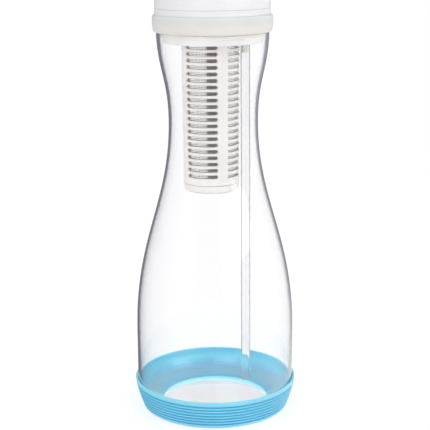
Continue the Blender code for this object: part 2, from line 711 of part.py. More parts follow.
def filter_cage(white, turn):
    """The slotted cage: a narrowing wall with rows of slots in columns."""
    angles = []
    for column in range(SLOT_COLUMNS):
        start = -90 + SLOT_TURN - SLOT_ARC / 2 + column * 360 / SLOT_COLUMNS
        angles += [(start + SLOT_ARC * i / SLOT_FACETS, True) for i in range(SLOT_FACETS)]
        angles.append((start + SLOT_ARC, False))
    levels = [(cage_top_z, False)]
    for row in range(SLOT_ROWS):
        top = slots_top_z - row * SLOT_PITCH
        levels += [(top, True), (top - SLOT_HEIGHT, False)]
    levels.append((cage_foot_z, False))
    bm = bmesh.new()
    rings = []
    for z, _ in levels:
        radius = cage_radius(z)
        turns = [math.radians(a) for a, _ in angles]
        rings.append([bm.verts.new((radius * math.cos(a), radius * math.sin(a), z)) for a in turns])
    for row, (_, slotted_row) in enumerate(levels[:-1]):
        for i, (_, slotted_turn) in enumerate(angles):
            if slotted_row and slotted_turn:
                continue
            j = (i + 1) % len(angles)
            bm.faces.new((rings[row][i], rings[row + 1][i], rings[row + 1][j], rings[row][j]))
    cage = link("filter_cage", bm, white, turn)
    wall = cage.modifiers.new("wall", "SOLIDIFY")
    wall.thickness = CAGE_WALL
    wall.offset = -1
    return cage


def mesh_sleeve(steel, turn):
    """The fine steel mesh that keeps the grains behind the slots."""
    foot = cage_bore(sleeve_foot_z) - SEAT_GAP
    top = cage_bore(sleeve_top_z) - SEAT_GAP
    outline = [
        (foot - SLEEVE_WALL, sleeve_foot_z),
        (foot, sleeve_foot_z),
        (top, sleeve_top_z),
        (top - SLEEVE_WALL, sleeve_top_z),
    ]
    return turned("mesh_sleeve", outline, steel, turn, ring=True, steps=SMALL_STEPS)


def fill_radius(z):
    """How wide a piece inside the mesh sleeve is at height z."""
    return cage_bore(z) - SLEEVE_WALL - 2 * SEAT_GAP


def disc(name, low, high, material, turn):
    outline = [(0, low), (fill_radius(low), low), (fill_radius(low), high), (0, high)]
    return turned(name, outline, material, turn, steps=SMALL_STEPS)


def filter_fill(felt, grains, turn):
    """The two felt screens and the bed of grains between them."""
    bottom_top = sleeve_foot_z + SCREEN_THICK
    top_low = sleeve_top_z - SCREEN_THICK
    disc("bottom_screen", sleeve_foot_z, bottom_top, felt, turn)
    disc("top_screen", top_low, sleeve_top_z, felt, turn)
    low = bottom_top + SEAT_GAP
    high = top_low - SEAT_GAP
    outline = [(0, low), (fill_radius(low), low), (fill_radius(high), high), (0, high)]
    turned("filter_media", outline, grains, turn, steps=SMALL_STEPS)


def cage_end_cap(white, turn):
    """The cup that closes the cage's foot and turns off for refilling."""
    outer = CAGE_FOOT_RADIUS
    spigot = cage_bore(cage_foot_z) - RUNNING_GAP
    bore = spigot - END_CAP_SPIGOT_WALL
    floor_z = end_cap_foot_z + END_CAP_FLOOR
    edge_centre = (outer - END_CAP_EDGE, end_cap_foot_z + END_CAP_EDGE)
    outline = [(0, end_cap_foot_z)] + arc(edge_centre, END_CAP_EDGE, -90, 0, CORNER_POINTS)
    outline += [
        (outer, end_cap_top_z),
        (spigot, end_cap_top_z),
        (spigot, spigot_top_z),
        (bore, spigot_top_z),
        (bore, floor_z),
        (0, floor_z),
    ]
    return turned("cage_end_cap", outline, white, turn, steps=SMALL_STEPS)


def main():
    for obj in list(bpy.data.objects):
        bpy.data.objects.remove(obj)

    clear = finish_material("clear_glass", (0.95, 0.96, 0.97), 0.02, transmission=1.0)
    clear_tube = finish_material("clear_plastic", (0.93, 0.93, 0.92), 0.08, transmission=0.9)
    blue = finish_material("blue_silicone", (0.16, 0.57, 0.80), 0.45)
    milky = finish_material("milky_silicone", (0.76, 0.77, 0.75), 0.4, transmission=0.3)
    beige = finish_material("beige_silicone", (0.76, 0.72, 0.66), 0.45)
    white = finish_material("white_plastic", (0.86, 0.86, 0.87), 0.3)
    steel = finish_material("steel", (0.62, 0.61, 0.6), 0.3, metallic=1.0)
    felt = finish_material("white_felt", (0.8, 0.8, 0.78), 0.9)
    grains = finish_material("carbon_grains", (0.05, 0.05, 0.05), 0.8)

    carafe_body(clear)
    base_boot(blue)
    neck_collar(milky)

    lift = joint_empty("lid_lift", (0, 0, 0))
    lid_plug(white, lift)
    plug_gasket(beige, lift)
    air_tube(clear_tube, lift)
    tube_grommet(beige, lift)
    vent_valve(milky, lift)

    twist = joint_empty("cap_twist", (0, 0, 0), lift)
    lid_cap(white, twist)
    cap_seal(milky, twist)
    hinge_pin(steel, twist)

    hinge = joint_empty("flap_hinge", (HINGE_X, 0, hinge_z), twist)
    pour_flap(white, hinge)
    flap_seal(milky, hinge)

    turn = joint_empty("filter_twist", (-FILTER_SHIFT, 0, 0), lift)
    filter_head(white, turn)
    head_oring(milky, turn)
    filter_cage(white, turn)
    mesh_sleeve(steel, turn)
    filter_fill(felt, grains, turn)

    end_turn = joint_empty("end_cap_twist", (-FILTER_SHIFT, 0, 0), turn)
    cage_end_cap(white, end_turn)


main()
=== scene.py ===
"""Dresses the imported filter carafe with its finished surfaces, and sets it in a plain studio."""

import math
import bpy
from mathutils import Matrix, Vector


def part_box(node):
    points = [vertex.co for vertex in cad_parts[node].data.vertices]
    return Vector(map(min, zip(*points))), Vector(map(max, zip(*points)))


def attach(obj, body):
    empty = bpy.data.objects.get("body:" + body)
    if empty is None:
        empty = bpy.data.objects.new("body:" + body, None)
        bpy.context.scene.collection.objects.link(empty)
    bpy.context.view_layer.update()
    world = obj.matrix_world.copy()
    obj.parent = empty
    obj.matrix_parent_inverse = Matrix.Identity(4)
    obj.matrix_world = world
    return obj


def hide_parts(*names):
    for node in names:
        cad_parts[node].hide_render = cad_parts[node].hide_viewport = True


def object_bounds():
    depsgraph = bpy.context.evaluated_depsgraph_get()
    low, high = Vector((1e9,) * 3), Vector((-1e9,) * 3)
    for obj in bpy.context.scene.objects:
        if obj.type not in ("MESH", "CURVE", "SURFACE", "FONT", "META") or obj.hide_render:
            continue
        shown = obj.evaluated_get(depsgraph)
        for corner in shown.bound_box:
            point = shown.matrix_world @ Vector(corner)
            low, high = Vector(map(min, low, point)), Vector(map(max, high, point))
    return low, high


bl_info = {
    "name": "Filter carafe",
    "version": (1, 0, 0),
    "blender": (4, 5, 0),
    "location": "View3D > Sidebar > Carafe",
    "description": "Builds a filter carafe's finished pieces around its solids, and a studio to see it in",
    "category": "Object",
}

from collections import namedtuple

import bmesh
import bpy
from bpy.props import FloatProperty, FloatVectorProperty, IntProperty, PointerProperty
from bpy.types import NodeSocket, Operator, Panel, PropertyGroup
from mathutils import Matrix, Vector
from mathutils.geometry import interpolate_bezier

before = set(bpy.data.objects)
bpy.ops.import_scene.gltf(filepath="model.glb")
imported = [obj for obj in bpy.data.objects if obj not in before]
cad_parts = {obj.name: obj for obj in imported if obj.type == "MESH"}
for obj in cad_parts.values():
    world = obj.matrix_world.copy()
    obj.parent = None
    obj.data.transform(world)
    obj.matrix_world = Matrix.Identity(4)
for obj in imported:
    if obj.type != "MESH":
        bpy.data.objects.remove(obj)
CAD_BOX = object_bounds()

MM = 0.001

# Gaps between pieces that are seated, that run past each other, and that look as if they touch.
SEAT_GAP = 0.3 * MM
RUNNING_GAP = 0.4 * MM
SEAM = 0.08 * MM

# How far a joined block reaches into its neighbour, and a cutting block past what it cuts.
FUSE = 0.5 * MM
CUT_PAST = 2.0 * MM

# Corner radii, from a crisp edge to a fillet, and the most of a side that one corner takes.
FINE_EDGE = 0.2 * MM
CLEAN_EDGE = 0.3 * MM
EDGE = 0.4 * MM
ROUND_EDGE = 0.6 * MM
SOFT_EDGE = 0.8 * MM
FILLET = 1.0 * MM
CORNER_SHARE = 0.49

# Steps around turned pieces by size, and points along curves.
TURN_STEPS = 144
CORE_STEPS = 96
TUBE_STEPS = 64
SMALL_STEPS = 48
SIDE_POINTS = 36
CORNER_POINTS = 16
LIP_POINTS = 12
RIB_POINTS = 12
FLAP_POINTS = 40
ARC_POINTS = 7

SMOOTH_ANGLE = math.radians(32)
WELD = 1e-6
TINY = 1e-7
# Mesh attribute of how deep a point lies in a groove; the boot's silicone paints shade by it.
GROOVE_SHADE = "groove"

Span = namedtuple("Span", "axis radius foot top")
Skin = namedtuple("Skin", "grain relief roughness mottle")
Sink = namedtuple("Sink", "weight colours depth")
Ray = namedtuple("Ray", "scattered mirrored refracted caught within gain clearing")

# Silicone rubber bends light alike whatever its pigment. Seals and collar share the milky one.
SILICONE_IOR = 1.41
MILKY_SINK = Sink(weight=0.6, colours=(1.0, 1.0, 0.95), depth=4.0 * MM)
MILKY_SKIN = Skin(grain=0.5 * MM, relief=0.02 * MM, roughness=0.4, mottle=0.04)

# How late the glass thickens towards the lip, how the boot bows in, and how flat the duckbill's tip is.
WALL_DRAW = 2.5
BOOT_BOW = 1.5
BILL_FLATTENING = 0.78


def span(node):
    """Where a turned solid stands: its axis along X, its radius, and its lowest and highest level."""
    low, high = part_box(node)
    return Span((low.x + high.x) / 2, (high.x - low.x) / 2, low.z, high.z)


def linear(code):
    """An sRGB hex colour as the linear values that shaders take."""
    parts = [int(code[i : i + 2], 16) / 255 for i in (0, 2, 4)]
    return tuple(c / 12.92 if c <= 0.04045 else ((c + 0.055) / 1.055) ** 2.4 for c in parts)


def length(name, description, millimetres):
    return FloatProperty(
        name=name, description=description, default=millimetres * MM, unit="LENGTH", precision=5
    )


def angle(name, description, degrees):
    return FloatProperty(name=name, description=description, default=math.radians(degrees), subtype="ANGLE")


def count(name, description, default):
    return IntProperty(name=name, description=description, default=default, min=1)


def strength(name, description, default):
    return FloatProperty(name=name, description=description, default=default, min=0)


def colour(name, description, code):
    return FloatVectorProperty(
        name=name, description=description, default=linear(code), size=3, min=0, max=1, subtype="COLOR"
    )


class CarafeGlass(PropertyGroup):
    """The clear body."""

    wall: length("Lip wall", "Thickness at the lip", 2.4)
    side_wall: length("Side wall", "Thickness of the side, where blowing draws it out", 1.4)
    floor: length("Floor", "Thickness of the base", 3.0)
    corner: length("Base corner", "Outer radius between side and base", 16.0)
    shoulder_height: length("Shoulder height", "Where the side starts to draw in", 57.0)
    shoulder_pull: length("Shoulder pull", "How far the side runs on upright above the shoulder", 68.0)
    waist_height: length("Waist height", "Height of the narrowest place", 206.5)
    waist_radius: length("Waist radius", "Outer radius of the grip", 30.8)
    waist_pull_down: length("Waist pull down", "How far the grip stays upright below the waist", 58.0)
    waist_pull_up: length("Waist pull up", "How far the grip stays upright above the waist", 30.0)
    neck_radius: length("Neck radius", "Outer radius below the lip", 38.6)
    neck_height: length("Neck height", "Where the flare ends", 272.0)
    neck_pull: length("Neck pull", "How far the neck runs down upright", 30.0)
    tint: colour("Tint", "What the glass takes from white light", "FFFFFF")


class CarafeBoot(PropertyGroup):
    """The silicone boot on the foot."""

    floor: length("Floor", "Thickness under the carafe", 2.2)
    foot_inset: length("Foot inset", "How far the foot is drawn in from the rim", 5.1)
    edge: length("Edge", "Radius of the foot's edge", 2.4)
    lip: length("Lip", "Radius of the rim's edge", 0.7)
    hole_radius: length("Hole radius", "Opening in the floor", 37.0)
    rib_band: length("Rim band", "Plain band above the ribs", 2.7)
    rib_pitch: length("Rib pitch", "Distance from rib to rib", 2.35)
    rib_depth: length("Rib depth", "Depth of a groove", 0.6)
    rib_count: count("Ribs", "Number of grooves", 7)
    colour: colour("Colour", "Sky-blue silicone", "9CDFF5")
    # Painted shade: the grooves are painted in this colour, for the shade that falls in them.
    groove_shade_colour: colour("Painted groove shade", "The silicone in its own shade", "00AAD9")


class CarafeLid(PropertyGroup):
    """The collar, the plug, the cap and the flap."""

    collar_taper: length("Collar taper", "How far the collar draws in at its foot", 1.0)
    collar_chamfer: length("Collar chamfer", "Bevel at the collar's top", 1.2)
    plug_radius: length("Plug radius", "Outside of the plug", 33.9)
    plug_wall: length("Plug wall", "Thickness of the plug's side", 2.4)
    groove: length("Gasket groove", "Depth of the gasket's seat", 1.0)
    deck: length("Deck", "Thickness of the deck that carries the filter", 2.4)
    upstand_radius: length("Upstand radius", "Outside of the wall that the cap turns on", 35.6)
    upstand_wall: length("Upstand wall", "Thickness of that wall", 2.4)
    cap_wall: length("Cap wall", "Thickness of the skirt", 2.2)
    cap_roof: length("Cap roof", "Thickness of the top", 6.2)
    cap_edge: length("Cap edge", "Radius of the cap's top edge", 1.6)
    cap_skin: length("Cap skin", "Top above the hollow behind the hinge", 2.4)
    cap_rib: length("Cap rib", "Width of the ring that presses the seal", 1.8)
    bayonet_bite: length("Bayonet bite", "How far lugs and ledges stand out", 1.15)
    bayonet_height: length("Bayonet height", "Height of a lug or ledge", 2.0)
    bayonet_count: count("Bayonets", "Lugs around the upstand", 3)
    lug_arc: angle("Lug arc", "Width of a bayonet lug", 26)
    ledge_arc: angle("Ledge arc", "Width of a bayonet ledge", 34)
    hinge_x: length("Hinge place", "Distance of the hinge behind the axis", 4.0)
    knuckle_radius: length("Knuckle radius", "Outside of the flap's knuckle", 2.2)
    knuckle_half: length("Knuckle half", "Half the knuckle's length", 9.5)
    pin_radius: length("Pin radius", "Radius of the hinge pin", 1.2)
    flap_thick: length("Flap", "Thickness of the flap", 3.0)
    flap_edge: length("Flap edge", "Radius of the flap's top edge", 0.9)
    tab_width: length("Tab width", "Width of the thumb tab", 16.0)
    pour_length: length("Mouth length", "Pour mouth along X", 12.0)
    pour_width: length("Mouth width", "Pour mouth along Y", 22.0)
    pour_corner: length("Mouth corner", "Radius of its corners", 4.0)
    vent_radius: length("Vent radius", "Radius of an air hole", 1.2)
    vent_pitch: length("Vent pitch", "Distance between air holes", 5.0)
    vent_count: count("Vents", "Number of air holes", 3)
    white: colour("White", "Moulded polypropylene", "F0F0F2")
    milk: colour("Milk", "Translucent silicone", "FBFBF8")
    collar_milk: colour("Collar", "Translucent silicone at the top of the collar", "EAECEA")
    beige: colour("Beige", "Gasket silicone", "FFF6EA")


class CarafeFilter(PropertyGroup):
    """The cartridge and the air line."""

    cage_wall: length("Cage wall", "Thickness of the slotted wall", 1.2)
    top_band: length("Top band", "Plain band above the slots", 3.5)
    slot_rows: count("Slot rows", "Slots in a column", 21)
    slot_pitch: length("Slot pitch", "Distance from slot to slot", 4.4)
    slot_height: length("Slot height", "Width of a slot", 2.65)
    slot_columns: count("Slot columns", "Columns around the cage", 4)
    slot_arc: angle("Slot arc", "Length of a slot around the cage", 69.5)
    slot_turn: angle("Slot turn", "Turn of the first column from the front", -20.4)
    outlet_radius: length("Outlet radius", "Outside of the outlet", 12.6)
    outlet_wall: length("Outlet wall", "Thickness of the outlet", 2.2)
    outlet_lug_reach: length("Outlet lug", "How far the outlet's lugs stand out", 2.4)
    outlet_lug_height: length("Outlet lug height", "Height of a lug", 2.0)
    outlet_lug_arc: angle("Outlet lug arc", "Width of a lug", 30)
    outlet_notch_arc: angle("Outlet notch arc", "Width of a notch in the deck", 36)
    outlet_count: count("Outlet lugs", "Lugs around the outlet", 3)
    unlock: angle("Unlock", "Turn from locked to free", 60)
    flange: length("Flange", "Thickness of the head's flange", 2.0)
    end_edge: length("End cap edge", "Radius of the end cap's edge", 3.6)
    end_height: length("End cap height", "Height of the end cap's outside", 5.5)
    end_floor: length("End cap floor", "Thickness of its floor", 2.0)
    end_wall: length("End cap wall", "Thickness of its spigot", 1.8)
    tube_wall: length("Tube wall", "Thickness of the air tube", 0.6)
    bore: length("Bore", "Radius of the air way in the grommet", 1.3)
    stem: length("Stem", "Radius of the grommet in the deck", 3.0)
    grommet_flange: length("Grommet flange", "Thickness of the grommet's flange", 1.3)
    boss_radius: length("Boss radius", "Radius of the boss under the valve", 3.4)
    bill: length("Bill", "Height of the duckbill's wedge", 5.0)
    wire_pitch: length("Wire pitch", "Distance between the mesh's wires", 1.1)
    tube_tint: colour("Tube", "Clear tube", "FFFFFF")
    natural: colour("Natural", "Undyed polypropylene of the cartridge", "EAE5E4")
    steel: colour("Steel", "Stainless wire", "EFECE8")


class CarafeStage(PropertyGroup):
    """The studio and the camera."""

    floor_radius: length("Floor radius", "Size of the floor", 6000.0)
    camera_x: length("Camera side", "Camera's place along X", 0.7)
    camera_back: length("Camera distance", "Camera's distance in front of the axis", 813.4)
    camera_height: length("Camera height", "Camera's height above the floor", 334.5)
    pitch: angle("Pitch", "How far the camera looks down", 13.51)
    roll: angle("Roll", "Turn about the line of sight", -0.42)
    view: angle("View", "Width of the field of view", 20.49)
    ambient: strength("Ambient", "Light from all round", 0.54)
    overhead: strength("Overhead", "Light from straight above", 1.2)
    inside: strength("Inside", "Share of light added for each clear face in its way", 0.43)
    through: strength("Through", "Share of white added behind glass, for what the glass throws back", 0.06)
    panels: strength("Panels", "Brightness of the light panels in mirrors", 1.3)
    inner: strength("Inner panels", "Brightness of the light panels in mirrors inside the carafe", 1.06)
    lift: strength("Lift", "Light that the floor adds to its own colour", 0.7)
    # Painted light: the floor glows in this colour under the carafe; its bluish tint is painted, not cast by
    # the boot.
    under: colour("Under", "Light of the floor under the carafe, which the boot tints", "DADDE1")
    bounce: strength("Bounce", "Light that the floor sends up to the pieces", 0.6)
    key: strength("Key", "Power of the lamp at the front, in watts", 3.5)
    fill: strength("Fill", "Power of the lamp at the right, in watts", 3.2)
    floor: colour("Floor", "Pale floor", "A0A0A4")
    flag: colour("Flag", "Dark surround that shows in the edges of glass", "74747C")


def arc(centre, radius, start, end, points=ARC_POINTS):
    """Points along an arc, both ends included, with angles in degrees."""
    turns = [math.radians(start + (end - start) * i / (points - 1)) for i in range(points)]
    return [(centre[0] + radius * math.cos(t), centre[1] + radius * math.sin(t)) for t in turns]


def circle(centre, radius, points):
    """Points around a full circle."""
    return arc(centre, radius, 0, 360, points + 1)[:-1]


def rounded(outline, closed=False):
    """Rounds an outline's corners. A point is (r, z), or (r, z, radius) where its corner is round."""
    points = []
    last = len(outline) - 1
    for i, point in enumerate(outline):
        corner = Vector(point[:2])
        radius = point[2] if len(point) > 2 else 0
        if not radius or (not closed and i in (0, last)):
            points.append(tuple(corner))
            continue
        before = Vector(outline[i - 1][:2]) - corner
        after = Vector(outline[(i + 1) % len(outline)][:2]) - corner
        half = before.angle(after) / 2
        run = min(radius / math.tan(half), CORNER_SHARE * before.length, CORNER_SHARE * after.length)
        start = before.normalized() * run
        end = after.normalized() * run
        for j in range(ARC_POINTS):
            share = j / (ARC_POINTS - 1)
            points.append(tuple(corner + start * (1 - share) ** 2 + end * share**2))
    return points


def band(bore, radius, low, high, edge):
    """The outline of a plain ring with four round edges."""
    return [(bore, low, edge), (radius, low, edge), (radius, high, edge), (bore, high, edge)]


def upright_curve(low, high, pull_up, pull_down, points=SIDE_POINTS):
    """A Bezier from low to high whose ends both stand upright, as (r, z) points."""
    knots = [Vector((*low, 0)), Vector((*high, 0))]
    handles = (knots[0] + Vector((0, pull_up, 0)), knots[1] - Vector((0, pull_down, 0)))
    return [(p.x, p.y) for p in interpolate_bezier(knots[0], *handles, knots[1], points)]


def shade(obj):
    """Shades an object smooth where it is round, and sharp along its edges."""
    obj.data.shade_smooth()
    obj.data.set_sharp_from_angle(angle=SMOOTH_ANGLE)


def link(name, bm):
    """Makes a bmesh into a named object with outward faces."""
    bmesh.ops.recalc_face_normals(bm, faces=bm.faces)
    mesh = bpy.data.meshes.new(name)
    bm.to_mesh(mesh)
    bm.free()
    obj = bpy.data.objects.new(name, mesh)
    bpy.context.scene.collection.objects.link(obj)
    shade(obj)
    return obj


def lathe(name, outline, axis=0.0, closed=False, steps=TURN_STEPS):
    """Spins (r, z) points about an upright axis at x. Its UVs are metres around and along the outline."""
    bm = bmesh.new()
    uv = bm.loops.layers.uv.new("metres")
    widest = max(r for r, _ in outline)
    turns = [math.tau * i / steps for i in range(steps)]
    rings = []
    for r, z in outline:
        if r < TINY:
            rings.append([bm.verts.new((axis, 0, z))] * steps)
        else:
            rings.append([bm.verts.new((axis + r * math.cos(t), r * math.sin(t), z)) for t in turns])
    runs = [0.0]
    for (r0, z0), (r1, z1) in zip(outline, outline[1:] + outline[:1]):
        runs.append(runs[-1] + math.hypot(r1 - r0, z1 - z0))
    for a in range(len(outline) if closed else len(outline) - 1):
        b = (a + 1) % len(outline)
        for i in range(steps):
            corners = ((a, i, 0), (a, i + 1, 0), (b, i + 1, 1), (b, i, 1))
            at = {rings[row][step % steps]: (step, a + end) for row, step, end in corners}
            if len(at) < 3:
                continue
            face = bm.faces.new(at)
            for loop in face.loops:
                step, run = at[loop.vert]
                loop[uv].uv = (widest * math.tau * step / steps, runs[run])
    return link(name, bm)


def ring(name, outline, axis=0.0, steps=TURN_STEPS):
    """Spins a closed outline, its corners rounded, about an upright axis at x."""
    return lathe(name, rounded(outline, closed=True), axis, closed=True, steps=steps)


def inset_outline(outline, inset):
    """An anticlockwise (x, y) outline drawn in by a distance."""
    if not inset:
        return outline
    points = []
    for i, point in enumerate(outline):
        here = Vector(point)
        along = (here - Vector(outline[i - 1])).normalized()
        onward = (Vector(outline[(i + 1) % len(outline)]) - here).normalized()
        inward = Vector((-along.y - onward.y, along.x + onward.x))
        points.append(tuple(here + inward * inset / (1 + along.dot(onward))))
    return points


def slab(name, outline, layers):
    """A solid with an (x, y) outline, stacked from layers of (height, inset), closed at both ends."""
    bm = bmesh.new()
    loops = []
    for z, inset in layers:
        loops.append([bm.verts.new((x, y, z)) for x, y in inset_outline(outline, inset)])
    for low, high in zip(loops, loops[1:]):
        for i in range(len(outline)):
            j = (i + 1) % len(outline)
            bm.faces.new((low[i], low[j], high[j], high[i]))
    bm.faces.new(reversed(loops[0]))
    bm.faces.new(loops[-1])
    return link(name, bm)


def round_top(low, high, edge):
    """Layers of a slab with upright sides and a quarter-round top edge."""
    turns = [math.pi / 2 * i / (ARC_POINTS - 1) for i in range(ARC_POINTS)]
    return [(low, 0.0)] + [(high - edge + edge * math.sin(t), edge - edge * math.cos(t)) for t in turns]


def block(name, outline, low, high):
    """A solid with an (x, y) outline and upright sides."""
    return slab(name, outline, [(low, 0.0), (high, 0.0)])


def rod(name, radius, low, high, x=0.0, y=0.0, steps=SMALL_STEPS):
    """An upright cylinder."""
    return block(name, circle((x, y), radius, steps), low, high)


def rod_along_y(name, radius, start, end, middle, chamfer=0.0):
    """A cylinder along Y about the middle (x, z), with chamfered ends where a chamfer is given."""
    layers = [(start, 0.0), (end, 0.0)]
    if chamfer:
        layers = [(start, chamfer), (start + chamfer, 0.0), (end - chamfer, 0.0), (end, chamfer)]
    obj = slab(name, circle((0, 0), radius, SMALL_STEPS), layers)
    lay = Matrix.Rotation(-math.pi / 2, 4, "X")
    obj.data.transform(Matrix.Translation((middle[0], 0, middle[1])) @ lay)
    return obj


def sectors(name, count, radii, heights, spread, axis=0.0, first=0.0):
    """Equal blocks of a ring, spaced evenly from the angle first. Angles are in radians."""
    blocks = []
    for i in range(count):
        middle = first + math.tau * i / count
        start = math.degrees(middle - spread / 2)
        end = math.degrees(middle + spread / 2)
        outline = arc((axis, 0), radii[1], start, end) + arc((axis, 0), radii[0], end, start)
        blocks.append(block(f"{name}_{i}", outline, *heights))
    return blocks


def rectangle(start_x, end_x, half_width):
    """An outline from start to end along X, and as far to both sides of the axis along Y."""
    return [(start_x, -half_width), (end_x, -half_width), (end_x, half_width), (start_x, half_width)]


def rounded_rectangle(centre_x, long, wide, corner):
    """An outline about a centre on the X axis, with round corners."""
    points = []
    for side_x, side_y, start in ((1, 1, 0), (-1, 1, 90), (-1, -1, 180), (1, -1, 270)):
        centre = (centre_x + side_x * (long / 2 - corner), side_y * (wide / 2 - corner))
        points += arc(centre, corner, start, start + 90)
    return points


def settle(obj):
    """Applies an object's modifiers to its mesh."""
    graph = bpy.context.evaluated_depsgraph_get()
    mesh = bpy.data.meshes.new_from_object(obj.evaluated_get(graph))
    obj.modifiers.clear()
    obj.data = mesh
    shade(obj)


def carve(obj, cuts=(), joins=()):
    """Joins tools to an object, cuts others from it, and removes the tools."""
    tools = [(tool, "UNION") for tool in joins] + [(tool, "DIFFERENCE") for tool in cuts]
    for tool, operation in tools:
        modifier = obj.modifiers.new(tool.name, "BOOLEAN")
        modifier.object = tool
        modifier.operation = operation
    settle(obj)
    for tool, _ in tools:
        bpy.data.objects.remove(tool)


def dress(obj, material):
    """Gives an object one material."""
    obj.data.materials.clear()
    obj.data.materials.append(material)


def place(obj, body, material, node):
    """Gives a piece its finish, seats it on its body, and hides the solid that it stands for."""
    dress(obj, material)
    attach(obj, body)
    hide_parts(node)


def feed(tree, node, inputs):
    """Sets or links each named input of a node."""
    for socket, value in inputs.items():
        if isinstance(value, NodeSocket):
            tree.links.new(value, node.inputs[socket])
        else:
            node.inputs[socket].default_value = value


def add(tree, kind, inputs=None, stops=(), **settings):
    """Adds a node with its settings and inputs, and with the (place, colour) stops of a ramp."""
    node = tree.nodes.new("ShaderNode" + kind)
    for key, value in settings.items():
        setattr(node, key, value)
    feed(tree, node, inputs or {})
    for position, _ in stops[1:-1]:
        node.color_ramp.elements.new(position)
    for i, (position, colour_there) in enumerate(stops):
        node.color_ramp.elements[i].position = position
        node.color_ramp.elements[i].color = (*colour_there, 1)
    return node


def start_material(name, base, sockets):
    """A new material with a Principled shader, its fixed values set on the shader's own sockets.

    Where the material is already there, it comes back without its tree and shader.
    """
    material = bpy.data.materials.get(name)
    if material:
        return material, None, None
    material = bpy.data.materials.new(name)
    material.use_nodes = True
    tree = material.node_tree
    shader = tree.nodes["Principled BSDF"]
    feed(tree, shader, {"Base Color": (*base, 1), **sockets})
    return material, tree, shader


def moulded_skin(tree, shader, base, skin):
    """The skin that a mould leaves: fine grain in relief, slightly uneven gloss, and a faint mottle."""
    mottle_size = 40 * skin.grain
    gloss_swing = 0.05
    spot = add(tree, "TexCoord").outputs["Object"]
    fine = add(tree, "TexNoise", {"Vector": spot, "Scale": 1 / skin.grain, "Detail": 3.0})
    relief = add(tree, "Bump", {"Height": fine.outputs["Fac"], "Distance": skin.relief, "Strength": 0.35})
    slow = add(tree, "TexNoise", {"Vector": spot, "Scale": 1 / mottle_size, "Detail": 2.0}).outputs["Fac"]
    ends = {"To Min": skin.roughness - gloss_swing, "To Max": skin.roughness + gloss_swing}
    gloss = add(tree, "MapRange", {"Value": slow, **ends})
    darker = [c * (1 - skin.mottle) for c in base]
    tone = add(tree, "ValToRGB", {"Fac": slow}, stops=((0.3, darker), (0.6, base))).outputs["Color"]
    skin_sockets = {
        "Normal": relief.outputs["Normal"],
        "Roughness": gloss.outputs["Result"],
        "Base Color": tone,
    }
    feed(tree, shader, skin_sockets)
    return tone


def moulded(name, base, ior, sink, skin, passing=0.0):
    """A moulded rubber or plastic that light sinks into, and passes through in part."""
    sockets = {
        "IOR": ior,
        "Subsurface Weight": sink.weight,
        "Subsurface Radius": sink.colours,
        "Subsurface Scale": sink.depth,
        "Transmission Weight": passing,
    }
    material, tree, shader = start_material(name, base, sockets)
    tone = moulded_skin(tree, shader, base, skin) if tree else None
    return material, tree, shader, tone


def blown_glass(tint):
    """Soda-lime glass, blown in a mould: clear and fire-polished.

    Slow waves bend what is behind it, and its edges are painted greyer, where the eye looks along the wall:
    painted shade for the dark edges of glass.
    """
    sockets = {"Transmission Weight": 1.0, "Roughness": 0.0, "IOR": 1.52}
    material, tree, shader = start_material("soda_lime_glass", tint, sockets)
    if tree:
        wave = 55 * MM
        spot = add(tree, "TexCoord").outputs["Object"]
        waves = add(tree, "TexNoise", {"Vector": spot, "Scale": 1 / wave, "Detail": 1.0})
        relief = add(tree, "Bump", {"Height": waves.outputs["Fac"], "Distance": 0.4 * MM, "Strength": 0.3})
        facing = add(tree, "LayerWeight", {"Blend": 0.5}).outputs["Facing"]
        # Painted shade: the colour greys towards grazing angles.
        stops = ((0.7, tint), (0.86, linear("D8D8DE")), (0.97, linear("B8B8C0")))
        tone = add(tree, "ValToRGB", {"Fac": facing}, stops)
        feed(tree, shader, {"Normal": relief.outputs["Normal"], "Base Color": tone.outputs["Color"]})
    return material


def clear_tube(tint):
    """Extruded clear PVC: glossy, with faint draw lines along its length."""
    sockets = {"Transmission Weight": 0.95, "Roughness": 0.04, "IOR": 1.4}
    material, tree, shader = start_material("clear_pvc", tint, sockets)
    if tree:
        line = 0.6 * MM
        stretch = (1 / line, 0.02 / line, 1)
        spot = add(tree, "Mapping", {"Vector": add(tree, "TexCoord").outputs["UV"], "Scale": stretch})
        lines = add(tree, "TexNoise", {"Vector": spot.outputs["Vector"], "Scale": 1.0, "Detail": 2.0})
        relief = add(tree, "Bump", {"Height": lines.outputs["Fac"], "Distance": 0.02 * MM, "Strength": 0.3})
        feed(tree, shader, {"Normal": relief.outputs["Normal"]})
    return material


def blue_silicone(base, groove_shade):
    """Pigmented silicone rubber, compression moulded: satin, with light sinking a little way in.

    Its colour is painted deeper in the grooves: painted shade, standing in for the shade that falls in them.
    """
    sink = Sink(1.0, (0.6, 0.9, 1.0), 2.0 * MM)
    skin = Skin(0.5 * MM, 0.03 * MM, 0.42, 0.06)
    material, tree, shader, tone = moulded("blue_silicone_rubber", base, SILICONE_IOR, sink, skin)
    if tree:
        # Painted shade: a darker colour is mixed in by the depth in the groove.
        groove = add(tree, "Attribute", attribute_name=GROOVE_SHADE).outputs["Fac"]
        mix = add(tree, "MixRGB", {"Fac": groove, "Color1": tone, "Color2": (*groove_shade, 1)})
        feed(tree, shader, {"Base Color": mix.outputs["Color"]})
    return material


def milky_silicone(base):
    """Unpigmented silicone rubber, moulded as seals: milky, so light passes through it softly."""
    return moulded("milky_silicone_rubber", base, SILICONE_IOR, MILKY_SINK, MILKY_SKIN, 0.25)[0]


